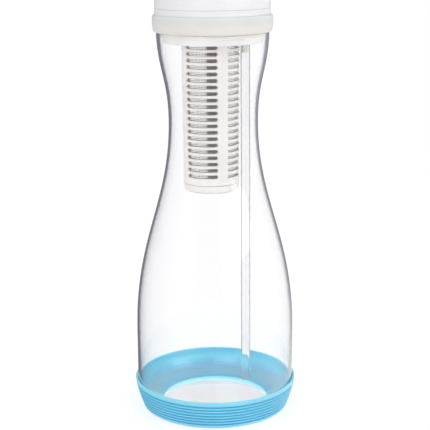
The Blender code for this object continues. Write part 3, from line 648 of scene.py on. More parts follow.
def collar_silicone(base, foot_glow):
    """The milky rubber as a thin sleeve, painted lighter and warmer towards its foot: painted light that
    stands in for the gasket's colour showing through the rubber and for the light that its downturned foot
    lacks.
    """
    name = "milky_collar_silicone"
    material, tree, shader, tone = moulded(name, base, SILICONE_IOR, MILKY_SINK, MILKY_SKIN, 0.1)
    if tree:
        spot = add(tree, "TexCoord").outputs["Generated"]
        height = add(tree, "SeparateXYZ", {"Vector": spot}).outputs["Z"]
        # Painted light: the gasket's beige is mixed in towards the foot.
        ends = {"From Min": 0.1, "From Max": 0.75, "To Min": 0.7, "To Max": 0.0}
        share = add(tree, "MapRange", {"Value": height, **ends}, interpolation_type="SMOOTHSTEP")
        mix = add(tree, "MixRGB", {"Fac": share.outputs["Result"], "Color1": tone, "Color2": (*foot_glow, 1)})
        feed(tree, shader, {"Base Color": mix.outputs["Color"]})
    return material


def beige_silicone(base):
    """Food-grade silicone rubber with a warm cast, moulded as seals: satin."""
    sink = Sink(0.8, (1.0, 0.95, 0.9), 2.0 * MM)
    skin = Skin(0.5 * MM, 0.02 * MM, 0.45, 0.05)
    return moulded("beige_silicone_rubber", base, SILICONE_IOR, sink, skin)[0]


def polypropylene(base, name="white_polypropylene"):
    """Polypropylene, injection moulded: a soft gloss over a very fine grain. Undyed, it is a warmer white."""
    sink = Sink(0.1, (1.0, 1.0, 1.0), 1.0 * MM)
    skin = Skin(0.4 * MM, 0.012 * MM, 0.4, 0.03)
    return moulded(name, base, 1.49, sink, skin)[0]


def natural_polypropylene(base):
    """Polypropylene without dye, as cartridges are made of."""
    return polypropylene(base, "natural_polypropylene")


def woven_steel(base, pitch):
    """Stainless wire cloth: bright wires over and under each other, dark where they leave gaps.

    Real cloth here has wires a few tenths of a millimetre apart, drawn coarser so that it shows.
    """
    sockets = {"Metallic": 1.0, "Roughness": 0.12}
    material, tree, shader = start_material("stainless_wire_cloth", base, sockets)
    if tree:
        parts = add(tree, "SeparateXYZ", {"Vector": add(tree, "TexCoord").outputs["UV"]})
        waves = []
        for axis in ("X", "Y"):
            turns = add(tree, "Math", {0: parts.outputs[axis], 1: math.tau / pitch}, operation="MULTIPLY")
            waves.append(add(tree, "Math", {0: turns.outputs[0]}, operation="COSINE").outputs[0])
        both = dict(enumerate(waves))
        wire = add(tree, "Math", both, operation="MAXIMUM").outputs[0]
        crossing = add(tree, "Math", both, operation="MULTIPLY").outputs[0]
        height = add(tree, "Math", {0: crossing, 1: 0.35, 2: wire}, operation="MULTIPLY_ADD")
        relief = add(tree, "Bump", {"Height": height.outputs[0], "Distance": pitch / 6, "Strength": 0.08})
        tone = add(tree, "ValToRGB", {"Fac": wire}, stops=((0.05, linear("3A3633")), (0.55, base)))
        feed(tree, shader, {"Normal": relief.outputs["Normal"], "Base Color": tone.outputs["Color"]})
    return material


def drawn_steel(base):
    """Drawn stainless wire: bright, with fine scratches along it."""
    material, tree, shader = start_material("drawn_stainless_steel", base, {"Metallic": 1.0})
    if tree:
        scratch = 0.15 * MM
        stretch = (1 / scratch, 0.03 / scratch, 1 / scratch)
        spot = add(tree, "Mapping", {"Vector": add(tree, "TexCoord").outputs["Object"], "Scale": stretch})
        lines = add(tree, "TexNoise", {"Vector": spot.outputs["Vector"], "Scale": 1.0})
        gloss = add(tree, "MapRange", {"Value": lines.outputs["Fac"], "To Min": 0.18, "To Max": 0.4})
        feed(tree, shader, {"Roughness": gloss.outputs["Result"]})
    return material


def white_felt():
    """Needled polyester felt: matt and fibrous."""
    base = linear("E6E4DE")
    material, tree, shader = start_material("polyester_felt", base, {"Sheen Weight": 0.4})
    if tree:
        moulded_skin(tree, shader, base, Skin(0.7 * MM, 0.3 * MM, 0.9, 0.2))
    return material


def carbon_grains():
    """Granular activated carbon: black grains about a millimetre across."""
    material, tree, shader = start_material("activated_carbon", linear("24221F"), {"Roughness": 0.75})
    if tree:
        grain = 1.2 * MM
        spot = add(tree, "TexCoord").outputs["Object"]
        cells = add(tree, "TexVoronoi", {"Vector": spot, "Scale": 1 / grain})
        relief = add(tree, "Bump", {"Height": cells.outputs["Distance"], "Distance": grain / 2}, invert=True)
        stops = ((0.0, linear("161513")), (1.0, linear("3B3733")))
        tone = add(tree, "ValToRGB", {"Fac": cells.outputs["Color"]}, stops)
        feed(tree, shader, {"Normal": relief.outputs["Normal"], "Base Color": tone.outputs["Color"]})
    return material


def glass_side(glass):
    """The carafe's outer side from the shoulder to the neck, as (r, z) points."""
    shoulder = (span("carafe_body").radius, glass.shoulder_height)
    waist = (glass.waist_radius, glass.waist_height)
    neck = (glass.neck_radius, glass.neck_height)
    lower = upright_curve(shoulder, waist, glass.shoulder_pull, glass.waist_pull_down)
    upper = upright_curve(waist, neck, glass.waist_pull_up, glass.neck_pull)
    return lower + upper[1:]


def glass_wall(glass, z):
    """The wall's thickness at a height: full at the lip, and thinner towards the shoulder."""
    share = max(0.0, (z - glass.shoulder_height) / (glass.neck_height - glass.shoulder_height))
    return glass.side_wall + (glass.wall - glass.side_wall) * share**WALL_DRAW


class CARAFE_OT_glass(Operator):
    """Make the clear carafe"""

    bl_idname = "carafe.glass"
    bl_label = "Carafe"

    def execute(self, context):
        glass = context.scene.carafe_glass
        body = span("carafe_body")
        side = glass_side(glass)
        flat = body.radius - glass.corner
        corner = arc((flat, body.foot + glass.corner), glass.corner, -90, 0, CORNER_POINTS)
        half = glass.wall / 2
        lip = arc((glass.neck_radius - half, body.top - half), half, 0, 180, LIP_POINTS)
        inside = [(r - glass_wall(glass, z), z) for r, z in reversed(side)]
        inner = glass.corner - glass.side_wall
        floor_z = body.foot + glass.floor
        inner_corner = arc((flat, floor_z + inner), inner, 0, -90, CORNER_POINTS)
        outline = [(0, body.foot)] + corner + side + lip + inside + inner_corner + [(0, floor_z)]
        carafe = lathe("carafe_glass", outline)
        place(carafe, "carafe", blown_glass(glass.tint), "carafe_body")
        return {"FINISHED"}


class CARAFE_OT_boot(Operator):
    """Make the ribbed boot"""

    bl_idname = "carafe.boot"
    bl_label = "Boot"

    def execute(self, context):
        boot = context.scene.carafe_boot
        glass = context.scene.carafe_glass
        solid = span("base_boot")
        carafe = span("carafe_body")
        ribs_top = solid.top - boot.rib_band
        ribs_foot = ribs_top - boot.rib_count * boot.rib_pitch

        def side(z):
            """The outer radius, which bows in towards the foot."""
            share = min(1.0, max(0.0, (solid.top - z) / (solid.top - boot.edge)))
            return solid.radius - boot.foot_inset * share**BOOT_BOW

        foot_radius = solid.radius - boot.foot_inset
        outside = arc((foot_radius - boot.edge, boot.edge), boot.edge, -90, 0)
        for i in range(RIB_POINTS * boot.rib_count + 1):
            z = ribs_foot + boot.rib_pitch * i / RIB_POINTS
            sunk = 1 - abs(math.cos(math.pi * i / RIB_POINTS))
            if boot.edge < z < solid.top - boot.lip:
                outside.append((side(z) - boot.rib_depth * sunk, z))
        fit = carafe.radius + SEAT_GAP
        rim = arc((solid.radius - boot.lip, solid.top - boot.lip), boot.lip, 0, 90)
        rim += arc((fit + boot.lip, solid.top - boot.lip), boot.lip, 90, 180)
        inner = glass.corner + SEAT_GAP
        centre = (carafe.radius - glass.corner, boot.floor + inner)
        inside = arc(centre, inner, 0, -90, CORNER_POINTS)
        hole = [(boot.hole_radius, boot.floor), (boot.hole_radius, 0)]
        piece = lathe("ribbed_boot", outside + rim + inside + hole, closed=True)
        # Painted shade: the depth in each groove is stored, and the silicone paints the grooves darker by it.
        groove_shade_mask = piece.data.attributes.new(GROOVE_SHADE, "FLOAT", "POINT")
        for vertex, value in zip(piece.data.vertices, groove_shade_mask.data):
            z = vertex.co.z
            depth = side(z) - vertex.co.xy.length
            if ribs_foot < z < ribs_top and depth < boot.rib_depth + WELD:
                value.value = math.sqrt(max(0.0, depth) / boot.rib_depth)
        finish = blue_silicone(boot.colour, boot.groove_shade_colour)
        place(piece, "carafe", finish, "base_boot")
        return {"FINISHED"}


class CARAFE_OT_collar(Operator):
    """Make the collar round the lip"""

    bl_idname = "carafe.collar"
    bl_label = "Collar"

    def execute(self, context):
        lid = context.scene.carafe_lid
        glass = context.scene.carafe_glass
        solid = span("neck_collar")
        bore = glass.neck_radius + SEAM
        mouth = glass.neck_radius - glass.wall
        under = span("carafe_body").top + SEAT_GAP
        middle = (solid.foot + under) / 2
        belly = 6.0 * MM
        lip_edge = 0.5 * MM
        outline = [
            (bore, solid.foot, FINE_EDGE / 2),
            (solid.radius - lid.collar_taper, solid.foot, SOFT_EDGE),
            (solid.radius, middle, belly),
            (solid.radius, solid.top - lid.collar_chamfer, FILLET),
            (solid.radius - lid.collar_chamfer, solid.top, SOFT_EDGE),
            (mouth, solid.top, lip_edge),
            (mouth, under, lip_edge),
            (bore, under, lip_edge),
        ]
        piece = ring("lip_collar", outline)
        # Painted light: the collar's foot is painted in the gasket's beige.
        finish = collar_silicone(lid.collar_milk, lid.beige)
        place(piece, "carafe", finish, "neck_collar")
        return {"FINISHED"}


def ledge_levels(lid):
    """Foot and top of the ledges inside the cap's skirt."""
    foot = span("lid_cap").foot + FUSE
    return foot, foot + lid.bayonet_height


class CARAFE_OT_plug(Operator):
    """Make the plug that seals the neck, and its gasket"""

    bl_idname = "carafe.plug"
    bl_label = "Plug"

    def execute(self, context):
        lid = context.scene.carafe_lid
        groove = lid.plug_radius - lid.groove
        self.plug(lid, context.scene.carafe_filter, groove)
        self.gasket(lid, groove + SEAT_GAP)
        return {"FINISHED"}

    def plug(self, lid, cartridge, groove):
        """The turned plug with its deck and upstand, cut for the outlet and the stem, with bayonet lugs."""
        solid = span("lid_plug")
        gasket = span("plug_gasket")
        head = span("filter_head")
        tube = span("air_tube")
        ring_foot = span("neck_collar").top + SEAM / 4
        ring_top = span("lid_cap").foot - SEAM
        deck_foot = tube.top + SEAT_GAP
        deck_top = deck_foot + lid.deck
        bore = lid.plug_radius - lid.plug_wall
        upstand_bore = lid.upstand_radius - lid.upstand_wall
        line = (ring_foot + ring_top) / 2
        line_half = 0.3 * MM
        line_depth = 0.1 * MM
        outline = [
            (0, deck_foot),
            (bore, deck_foot, SOFT_EDGE),
            (bore, solid.foot, EDGE),
            (lid.plug_radius, solid.foot, SOFT_EDGE),
            (lid.plug_radius, gasket.foot - SEAM, FINE_EDGE),
            (groove, gasket.foot - SEAM),
            (groove, gasket.top + SEAM),
            (lid.plug_radius, gasket.top + SEAM, FINE_EDGE),
            (lid.plug_radius, ring_foot, SOFT_EDGE),
            (solid.radius, ring_foot, SEAM / 2),
            (solid.radius, line - line_half),
            (solid.radius - line_depth, line),
            (solid.radius, line + line_half),
            (solid.radius, ring_top, CLEAN_EDGE),
            (lid.upstand_radius, ring_top, ROUND_EDGE),
            (lid.upstand_radius, solid.top, EDGE),
            (upstand_bore, solid.top, EDGE),
            (upstand_bore, ring_foot, SOFT_EDGE),
            (bore, ring_foot, SOFT_EDGE),
            (bore, deck_top, FILLET),
            (0, deck_top),
        ]
        plug = lathe("neck_plug", rounded(outline))
        deck = (deck_foot - CUT_PAST, deck_top + CUT_PAST)
        outlet = cartridge.outlet_radius
        notch = (outlet - FUSE, outlet + cartridge.outlet_lug_reach + RUNNING_GAP)
        spread = cartridge.outlet_notch_arc
        turn = cartridge.unlock
        cuts = [
            rod("outlet_hole", outlet + RUNNING_GAP, *deck, head.axis, steps=CORE_STEPS),
            rod("stem_hole", cartridge.stem + SEAT_GAP, *deck, tube.axis),
        ]
        cuts += sectors("outlet_notch", cartridge.outlet_count, notch, deck, spread, head.axis, turn)
        radii = (lid.upstand_radius - FUSE, lid.upstand_radius + lid.bayonet_bite)
        lug_foot = ledge_levels(lid)[1] + RUNNING_GAP
        heights = (lug_foot, lug_foot + lid.bayonet_height)
        carve(plug, cuts, sectors("bayonet_lug", lid.bayonet_count, radii, heights, lid.lug_arc))
        place(plug, "lid", polypropylene(lid.white), "lid_plug")

    def gasket(self, lid, seat):
        """The ring in the plug's groove, with a lip that meets the neck."""
        gasket = span("plug_gasket")
        middle = (gasket.foot + gasket.top) / 2
        lip = gasket.radius - 0.5 * MM
        outline = [
            (seat, gasket.foot),
            (lip, gasket.foot, EDGE),
            (gasket.radius, middle, ROUND_EDGE),
            (lip, gasket.top, EDGE),
            (seat, gasket.top),
        ]
        place(ring("neck_gasket", outline), "lid", beige_silicone(lid.beige), "plug_gasket")


class CARAFE_OT_air_line(Operator):
    """Make the air tube, its grommet and the duckbill valve"""

    bl_idname = "carafe.air_line"
    bl_label = "Air line"

    def execute(self, context):
        lid = context.scene.carafe_lid
        cartridge = context.scene.carafe_filter
        tube = span("air_tube")
        bore = tube.radius - cartridge.tube_wall
        outline = band(bore, tube.radius, tube.foot, tube.top, FINE_EDGE)
        pipe = ring("clear_air_tube", outline, tube.axis, TUBE_STEPS)
        place(pipe, "lid", clear_tube(cartridge.tube_tint), "air_tube")
        self.grommet(lid, cartridge, bore - SEAT_GAP, tube.top + SEAT_GAP)
        self.valve(lid, cartridge)
        return {"FINISHED"}

    def grommet(self, lid, cartridge, nipple, deck_foot):
        """The grommet in the deck: a nipple in the tube, a flange on the deck, and a boss for the valve."""
        solid = span("tube_grommet")
        flange_foot = deck_foot + lid.deck + SEAT_GAP
        flange_top = flange_foot + cartridge.grommet_flange
        outline = [
            (cartridge.bore, solid.foot, FINE_EDGE),
            (nipple, solid.foot, EDGE),
            (nipple, deck_foot),
            (cartridge.stem, deck_foot, FINE_EDGE),
            (cartridge.stem, flange_foot),
            (solid.radius, flange_foot, EDGE),
            (solid.radius, flange_top, EDGE),
            (cartridge.boss_radius, flange_top, EDGE),
            (cartridge.boss_radius, solid.top, EDGE),
            (cartridge.bore, solid.top, FINE_EDGE),
        ]
        nozzle = ring("air_grommet", outline, solid.axis, TUBE_STEPS)
        place(nozzle, "lid", beige_silicone(lid.beige), "tube_grommet")

    def valve(self, lid, cartridge):
        """The duckbill: a socket over the boss, and a bill that flattens towards its tip."""
        solid = span("vent_valve")
        socket = cartridge.boss_radius + SEAT_GAP
        roof = span("tube_grommet").top + SEAT_GAP
        shoulder = solid.top - cartridge.bill
        skirt = [
            (0, roof),
            (socket, roof, FINE_EDGE),
            (socket, solid.foot, FINE_EDGE),
            (solid.radius, solid.foot, EDGE),
            (solid.radius, shoulder),
        ]
        bill = [(solid.radius, shoulder + cartridge.bill * (i + 1) / ARC_POINTS) for i in range(ARC_POINTS)]
        outline = rounded(skirt) + bill + [(0, solid.top)]
        duckbill = lathe("duckbill_valve", outline, solid.axis, steps=TUBE_STEPS)
        for vertex in duckbill.data.vertices:
            share = (vertex.co.z - shoulder) / cartridge.bill
            if share > 0:
                vertex.co.y *= 1 - BILL_FLATTENING * share
        shade(duckbill)
        place(duckbill, "lid", milky_silicone(lid.milk), "vent_valve")


def hinge_place(lid):
    """The hinge pin's x and z."""
    return lid.hinge_x, span("lid_cap").top - lid.knuckle_radius


def pour_outline(long, wide, corner):
    """An outline about the middle of the pour mouth."""
    low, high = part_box("flap_seal")
    return rounded_rectangle((low.x + high.x) / 2, long, wide, corner)


class CARAFE_OT_cap(Operator):
    """Make the cap, its seal and the hinge pin"""

    bl_idname = "carafe.cap"
    bl_label = "Cap"

    def execute(self, context):
        lid = context.scene.carafe_lid
        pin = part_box("hinge_pin")
        hinge = hinge_place(lid)
        rib_bore = lid.upstand_radius - lid.cap_rib
        self.cap(lid, pin[0].y, hinge, rib_bore)
        seal = span("cap_seal")
        disc = ring("cap_ring_seal", band(rib_bore, seal.radius, seal.foot, seal.top, EDGE))
        place(disc, "cap", milky_silicone(lid.milk), "cap_seal")
        shaft = rod_along_y("steel_hinge_pin", lid.pin_radius, pin[0].y, pin[1].y, hinge, 0.25 * MM)
        place(shaft, "cap", drawn_steel(context.scene.carafe_filter.steel), "hinge_pin")
        return {"FINISHED"}

    def cap(self, lid, pin_start, hinge, rib_bore):
        """The turned cap with its ledges, cut for the flap, the hinge, the mouth and the air holes."""
        solid = span("lid_cap")
        skirt = solid.radius - lid.cap_wall
        roof = solid.top - lid.cap_roof
        rib_foot = span("cap_seal").top + SEAT_GAP
        line = solid.foot + 5.5 * MM
        line_height = 0.4 * MM
        line_depth = 0.12 * MM
        outline = [
            (0, roof),
            (rib_bore, roof, FILLET),
            (rib_bore, rib_foot, EDGE),
            (lid.upstand_radius, rib_foot, EDGE),
            (lid.upstand_radius, roof, ROUND_EDGE),
            (skirt, roof, ROUND_EDGE),
            (skirt, solid.foot, EDGE),
            (solid.radius, solid.foot, CLEAN_EDGE),
            (solid.radius, line),
            (solid.radius - line_depth, line + line_height),
            (solid.radius - line_depth, solid.top, lid.cap_edge),
            (0, solid.top),
        ]
        cap = lathe("pour_cap", rounded(outline))
        radii = (skirt - lid.bayonet_bite, skirt + FUSE)
        ledges = sectors("bayonet_ledge", lid.bayonet_count, radii, ledge_levels(lid), lid.ledge_arc)
        past = solid.radius + CUT_PAST
        above = solid.top + CUT_PAST
        below = roof - CUT_PAST
        wall_x = hinge[0] - lid.knuckle_radius - SEAT_GAP - FUSE
        recess_z = solid.top - lid.flap_thick - SEAT_GAP
        far = hinge[0] + lid.knuckle_radius + RUNNING_GAP
        pocket = rectangle(wall_x - CUT_PAST, far, lid.knuckle_half + RUNNING_GAP)
        pocket_z = hinge[1] - lid.knuckle_radius - RUNNING_GAP
        mouth = pour_outline(lid.pour_length, lid.pour_width, lid.pour_corner)
        hollow_radius = rib_bore - 1.2 * MM
        half = math.degrees(math.acos((far + lid.cap_skin) / hollow_radius))
        hollow = arc((0, 0), hollow_radius, -half, half, SMALL_STEPS)
        hollow_top = solid.top - lid.cap_skin
        cuts = [
            block("flap_recess", rectangle(-past, wall_x, past), recess_z, above),
            block("knuckle_pocket", pocket, pocket_z, above),
            block("pour_mouth", mouth, below, above),
            block("roof_hollow", hollow, below, hollow_top),
            rod_along_y("pin_hole", lid.pin_radius + SEAT_GAP, pin_start - SEAT_GAP, past, hinge),
        ]
        vent_x = span("air_tube").axis
        for i in range(lid.vent_count):
            vent_y = (i - (lid.vent_count - 1) / 2) * lid.vent_pitch
            cuts.append(rod(f"vent_{i}", lid.vent_radius, hollow_top - CUT_PAST, above, vent_x, vent_y))
        carve(cap, cuts, ledges)
        place(cap, "cap", polypropylene(lid.white), "lid_cap")


class CARAFE_OT_flap(Operator):
    """Make the pour flap and its seal"""

    bl_idname = "carafe.flap"
    bl_label = "Flap"

    def execute(self, context):
        lid = context.scene.carafe_lid
        low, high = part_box("flap_seal")
        long = high.x - low.x
        wide = high.y - low.y
        corner = lid.pour_corner + (long - lid.pour_length) / 2
        seat = pour_outline(long + 2 * SEAT_GAP, wide + 2 * SEAT_GAP, corner)
        self.flap(lid, seat, high.z + SEAT_GAP)
        layers = [(low.z, CLEAN_EDGE), (low.z + CLEAN_EDGE, 0.0), (high.z, 0.0)]
        pad = slab("mouth_pad", pour_outline(long, wide, corner), layers)
        place(pad, "flap", milky_silicone(lid.milk), "flap_seal")
        return {"FINISHED"}

    def flap(self, lid, seat, seat_top):
        """The flap with its thumb tab and knuckle, cut for the pin and for the seal's seat."""
        cap = span("lid_cap")
        low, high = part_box("pour_flap")
        hinge = hinge_place(lid)
        foot = cap.top - lid.flap_thick
        wall = lid.knuckle_radius + SEAT_GAP + FUSE
        below = lid.flap_thick - lid.knuckle_radius
        swing = math.sqrt(wall**2 + lid.knuckle_radius**2 - below**2) + SEAT_GAP
        edge_x = hinge[0] - swing
        meets = math.degrees(math.acos(edge_x / cap.radius))
        tab_half = lid.tab_width / 2
        tab = math.degrees(math.asin(tab_half / cap.radius))
        tab_corner = 3.0 * MM
        side = arc((0, 0), cap.radius, meets, 180 - tab, FLAP_POINTS)
        side += arc((low.x + tab_corner, tab_half - tab_corner), tab_corner, 90, 180)
        outline = side + [(x, -y) for x, y in reversed(side)]
        flap = slab("thumb_flap", outline, round_top(foot, high.z, lid.flap_edge))
        web = rectangle(edge_x - FUSE, hinge[0], lid.knuckle_half)
        joins = [
            block("flap_arm", web, foot + FUSE / 2, cap.top - FUSE),
            rod_along_y("knuckle", lid.knuckle_radius, -lid.knuckle_half, lid.knuckle_half, hinge),
        ]
        past = lid.knuckle_half + CUT_PAST
        cuts = [
            rod_along_y("knuckle_bore", lid.pin_radius + SEAT_GAP, -past, past, hinge),
            block("seal_pocket", seat, foot - CUT_PAST, seat_top),
        ]
        carve(flap, cuts, joins)
        place(flap, "flap", polypropylene(lid.white), "pour_flap")


class CARAFE_OT_filter_head(Operator):
    """Make the cartridge's head and its ring seal"""

    bl_idname = "carafe.filter_head"
    bl_label = "Filter head"

    def execute(self, context):
        cartridge = context.scene.carafe_filter
        head = span("filter_head")
        seal = span("head_oring")
        flange_top = seal.foot - SEAT_GAP
        flange_foot = flange_top - cartridge.flange
        spigot = head.radius - cartridge.cage_wall - SEAT_GAP
        outlet = cartridge.outlet_radius
        bore = outlet - cartridge.outlet_wall
        outline = [
            (bore, head.foot, CLEAN_EDGE),
            (spigot, head.foot, CLEAN_EDGE),
            (spigot, flange_foot),
            (head.radius, flange_foot, CLEAN_EDGE),
            (head.radius, flange_top, CLEAN_EDGE),
            (outlet, flange_top, CLEAN_EDGE),
            (outlet, head.top, CLEAN_EDGE),
            (bore, head.top, CLEAN_EDGE),
        ]
        top = ring("cartridge_head", outline, head.axis, CORE_STEPS)
        radii = (outlet - FUSE, outlet + cartridge.outlet_lug_reach)
        heights = (head.top - cartridge.outlet_lug_height, head.top - CLEAN_EDGE)
        spread = cartridge.outlet_lug_arc
        carve(top, joins=sectors("outlet_lug", cartridge.outlet_count, radii, heights, spread, head.axis))
        place(top, "filter", natural_polypropylene(cartridge.natural), "filter_head")

        section = (seal.top - seal.foot) / 2
        centre = (seal.radius - section, (seal.top + seal.foot) / 2)
        outline = circle(centre, section, CORNER_POINTS)
        oring = lathe("outlet_ring", outline, seal.axis, closed=True, steps=CORE_STEPS)
        finish = milky_silicone(context.scene.carafe_lid.milk)
        place(oring, "filter", finish, "head_oring")
        return {"FINISHED"}


class SlottedWall:
    """The cage's outer skin, laid out in angle and height.

    Each slot has a cell of wall around it, with posts between the columns and plain bands at both ends.
    The counts are the faces along a slot, around each of its ends, and across a post.
    """

    along = 12
    end = 6
    post = 3

    def __init__(self, cartridge, axis, radii, heights):
        self.bm = bmesh.new()
        self.axis = axis
        self.radii = radii
        self.heights = heights
        self.columns = cartridge.slot_columns
        self.rows = cartridge.slot_rows
        self.half_row = cartridge.slot_pitch / 2
        self.half_slot = cartridge.slot_height / 2
        self.end_turn = self.half_slot / radii[1]
        self.straight = cartridge.slot_arc / 2 - self.end_turn
        self.margin = cartridge.slot_arc / 2 + self.end_turn / 2
        self.first = heights[1] - cartridge.top_band - self.half_slot
        self.turn = cartridge.slot_turn - math.pi / 2

    def point(self, turn, z):
        """A vertex on the tapered wall."""
        share = (z - self.heights[0]) / (self.heights[1] - self.heights[0])
        radius = self.radii[0] + (self.radii[1] - self.radii[0]) * share
        return self.bm.verts.new((self.axis + radius * math.cos(turn), radius * math.sin(turn), z))

    def quad(self, *corners):
        self.bm.faces.new([self.point(turn, z) for turn, z in corners])

    def strip(self, turns, levels):
        """Plain wall over a grid of angles and heights."""
        for t0, t1 in zip(turns, turns[1:]):
            for z0, z1 in zip(levels, levels[1:]):
                self.quad((t0, z0), (t1, z0), (t1, z1), (t0, z1))

    def cell(self, middle, z):
        """One slot with round ends, and the wall around it."""
        inner = []
        outer = []
        for side in (1, -1):
            for i in range(self.along):
                turn = side * self.straight * (1 - 2 * i / self.along)
                inner.append((turn, side * self.half_slot))
                outer.append((turn, side * self.half_row))
            for i in range(self.end):
                bend = math.pi * i / self.end
                reach = self.straight + self.end_turn * math.sin(bend)
                inner.append((-side * reach, side * self.half_slot * math.cos(bend)))
                if i == 0:
                    outer.append((-side * self.straight, side * self.half_row))
                else:
                    level = 1 - 2 * (i - 1) / (self.end - 2)
                    outer.append((-side * self.margin, side * self.half_row * level))
        total = len(inner)
        for i in range(total):
            j = (i + 1) % total
            corners = (inner[i], outer[i], outer[j], inner[j])
            self.quad(*((middle + turn, z + level) for turn, level in corners))

    def build(self, name):
        """Lays all cells, posts and bands, and welds them into one skin."""
        gap = math.tau / self.columns - 2 * self.margin
        straight = [self.straight * (2 * i / self.along - 1) for i in range(self.along + 1)]
        cell_turns = [-self.margin, *straight, self.margin]
        levels = [2 * i / (self.end - 2) - 1 for i in range(self.end - 1)]
        last = self.first - (self.rows - 1) * 2 * self.half_row
        bands = ([self.heights[0], last - self.half_row], [self.first + self.half_row, self.heights[1]])
        for column in range(self.columns):
            middle = self.turn + math.tau * column / self.columns
            post = [middle + self.margin + gap * i / self.post for i in range(self.post + 1)]
            for row in range(self.rows):
                z = self.first - row * 2 * self.half_row
                self.cell(middle, z)
                self.strip(post, [z + self.half_row * level for level in levels])
            for heights in bands:
                self.strip([middle + turn for turn in cell_turns], heights)
                self.strip(post, heights)
        bmesh.ops.remove_doubles(self.bm, verts=self.bm.verts, dist=WELD)
        return link(name, self.bm)


class CARAFE_OT_cage(Operator):
    """Make the slotted cage and the cap on its foot"""

    bl_idname = "carafe.cage"
    bl_label = "Cage"

    def execute(self, context):
        cartridge = context.scene.carafe_filter
        head = span("filter_head")
        end = span("cage_end_cap")
        low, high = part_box("filter_cage")
        wall = SlottedWall(cartridge, head.axis, (end.radius, head.radius), (low.z, high.z))
        cage = wall.build("slotted_cage")
        thickness = cage.modifiers.new("wall", "SOLIDIFY")
        thickness.thickness = cartridge.cage_wall
        thickness.offset = -1
        settle(cage)
        place(cage, "filter", natural_polypropylene(cartridge.natural), "filter_cage")

        rim = end.foot + cartridge.end_height
        spigot = end.radius - cartridge.cage_wall - RUNNING_GAP
        bore = spigot - cartridge.end_wall
        floor_z = end.foot + cartridge.end_floor
        outline = [
            (0, end.foot),
            (end.radius, end.foot, cartridge.end_edge),
            (end.radius, rim, CLEAN_EDGE),
            (spigot, rim),
            (spigot, end.top, CLEAN_EDGE),
            (bore, end.top, CLEAN_EDGE),
            (bore, floor_z, FILLET),
            (0, floor_z),
        ]
        foot = lathe("cartridge_foot", rounded(outline), end.axis, steps=CORE_STEPS)
        place(foot, "end_cap", natural_polypropylene(cartridge.natural), "cage_end_cap")
        return {"FINISHED"}


class CARAFE_OT_core(Operator):
    """Make the wire sleeve, and finish the screens and the grains inside it"""

    bl_idname = "carafe.core"
    bl_label = "Core"

    def execute(self, context):
        cartridge = context.scene.carafe_filter
        head = span("filter_head")
        low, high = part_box("mesh_sleeve")
        wall = cartridge.cage_wall + SEAT_GAP
        top = head.radius - wall
        foot = span("cage_end_cap").radius - wall
        thick = 0.5 * MM
        outline = [(foot - thick, low.z), (foot, low.z), (top, high.z), (top - thick, high.z)]
        sleeve = lathe("wire_sleeve", outline, head.axis, closed=True, steps=CORE_STEPS)
        place(sleeve, "filter", woven_steel(cartridge.steel, cartridge.wire_pitch), "mesh_sleeve")
        felt = white_felt()
        finishes = {"top_screen": felt, "bottom_screen": felt, "filter_media": carbon_grains()}
        for node, material in finishes.items():
            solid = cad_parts[node]
            dress(solid, material)
            shade(solid)
        return {"FINISHED"}


# What a mirror sees around the carafe, from the front (0) to the left (-) and to the right (+), in degrees:
# a pale front, a white panel at the right, and a dim surround at the left and behind, which draws the edges.
SURROUND = (
    (-180, "78787E"),
    (-165, "7A7A82"),
    (-75, "646468"),
    (-50, "C8C8CC"),
    (50, "C8C8CC"),
    (75, "FFFFFF"),
    (130, "FFFFFF"),
    (158, "84848A"),
    (180, "78787E"),
)

# Mirrors inside the carafe see white nearly all round, as the wall throws the light about, and a dim place
# in front, which the wire cloth shows in one half of each slot.
SURROUND_INSIDE = (
    (-180, "FFFFFF"),
    (-20, "FFFFFF"),
    (-15, "6E6863"),
    (40, "6E6863"),
    (60, "FFFFFF"),
    (180, "FFFFFF"),
)

# Faces of the wall that a ray crosses on its way in and out again, and the most that are made up for.
FACES_IN_AND_OUT = 4
MOST_FACES = 8

# The height in a direction, from 0 to 1, above which the overhead light comes in.
OVERHEAD_FROM = 0.4

# The floor's thickness, and the lamps' size and places, in metres.
FLOOR_DEPTH = 0.02
LAMP_SIZE = 0.9
KEY_PLACE = (-0.4, -1.1, 1.0)
FILL_PLACE = (1.1, -0.7, 0.8)


def ray_history(tree, stage):
    """How a ray came, as values for the light that it finds.

    Each is 1 where the ray was scattered, mirrored, refracted, caught in the wall (mirrored and refracted),
    or mirrored within the carafe, else 0. A ray mirrored within has crossed both faces of the wall on its way
    in, and again on its way out. The gain makes up for what surfaces lose at each clear face in the way, and
    the clearing for what the glass throws back before the background shows through it.
    """
    path = add(tree, "LightPath")
    depths = [path.outputs[kind + " Depth"] for kind in ("Diffuse", "Glossy", "Transmission")]
    history = [add(tree, "Math", {0: depth, 1: 1.0}, operation="MINIMUM").outputs[0] for depth in depths]
    _, mirrored, refracted = history
    faces = depths[2]
    caught = add(tree, "Math", {0: mirrored, 1: refracted}, operation="MULTIPLY").outputs[0]
    left_over = add(tree, "Math", {0: faces, 1: FACES_IN_AND_OUT}, operation="MODULO").outputs[0]
    both_ways = add(tree, "Math", {0: left_over, 1: 0.0, 2: 0.5}, operation="COMPARE").outputs[0]
    within = add(tree, "Math", {0: both_ways, 1: caught}, operation="MULTIPLY").outputs[0]
    counted = add(tree, "Math", {0: faces, 1: MOST_FACES}, operation="MINIMUM").outputs[0]
    gain = add(tree, "Math", {0: counted, 1: stage.inside, 2: 1.0}, operation="MULTIPLY_ADD").outputs[0]
    clearing = add(tree, "Math", {0: refracted, 1: stage.through, 2: 1.0}, operation="MULTIPLY_ADD")
    return Ray(*history, caught, within, gain, clearing.outputs[0])


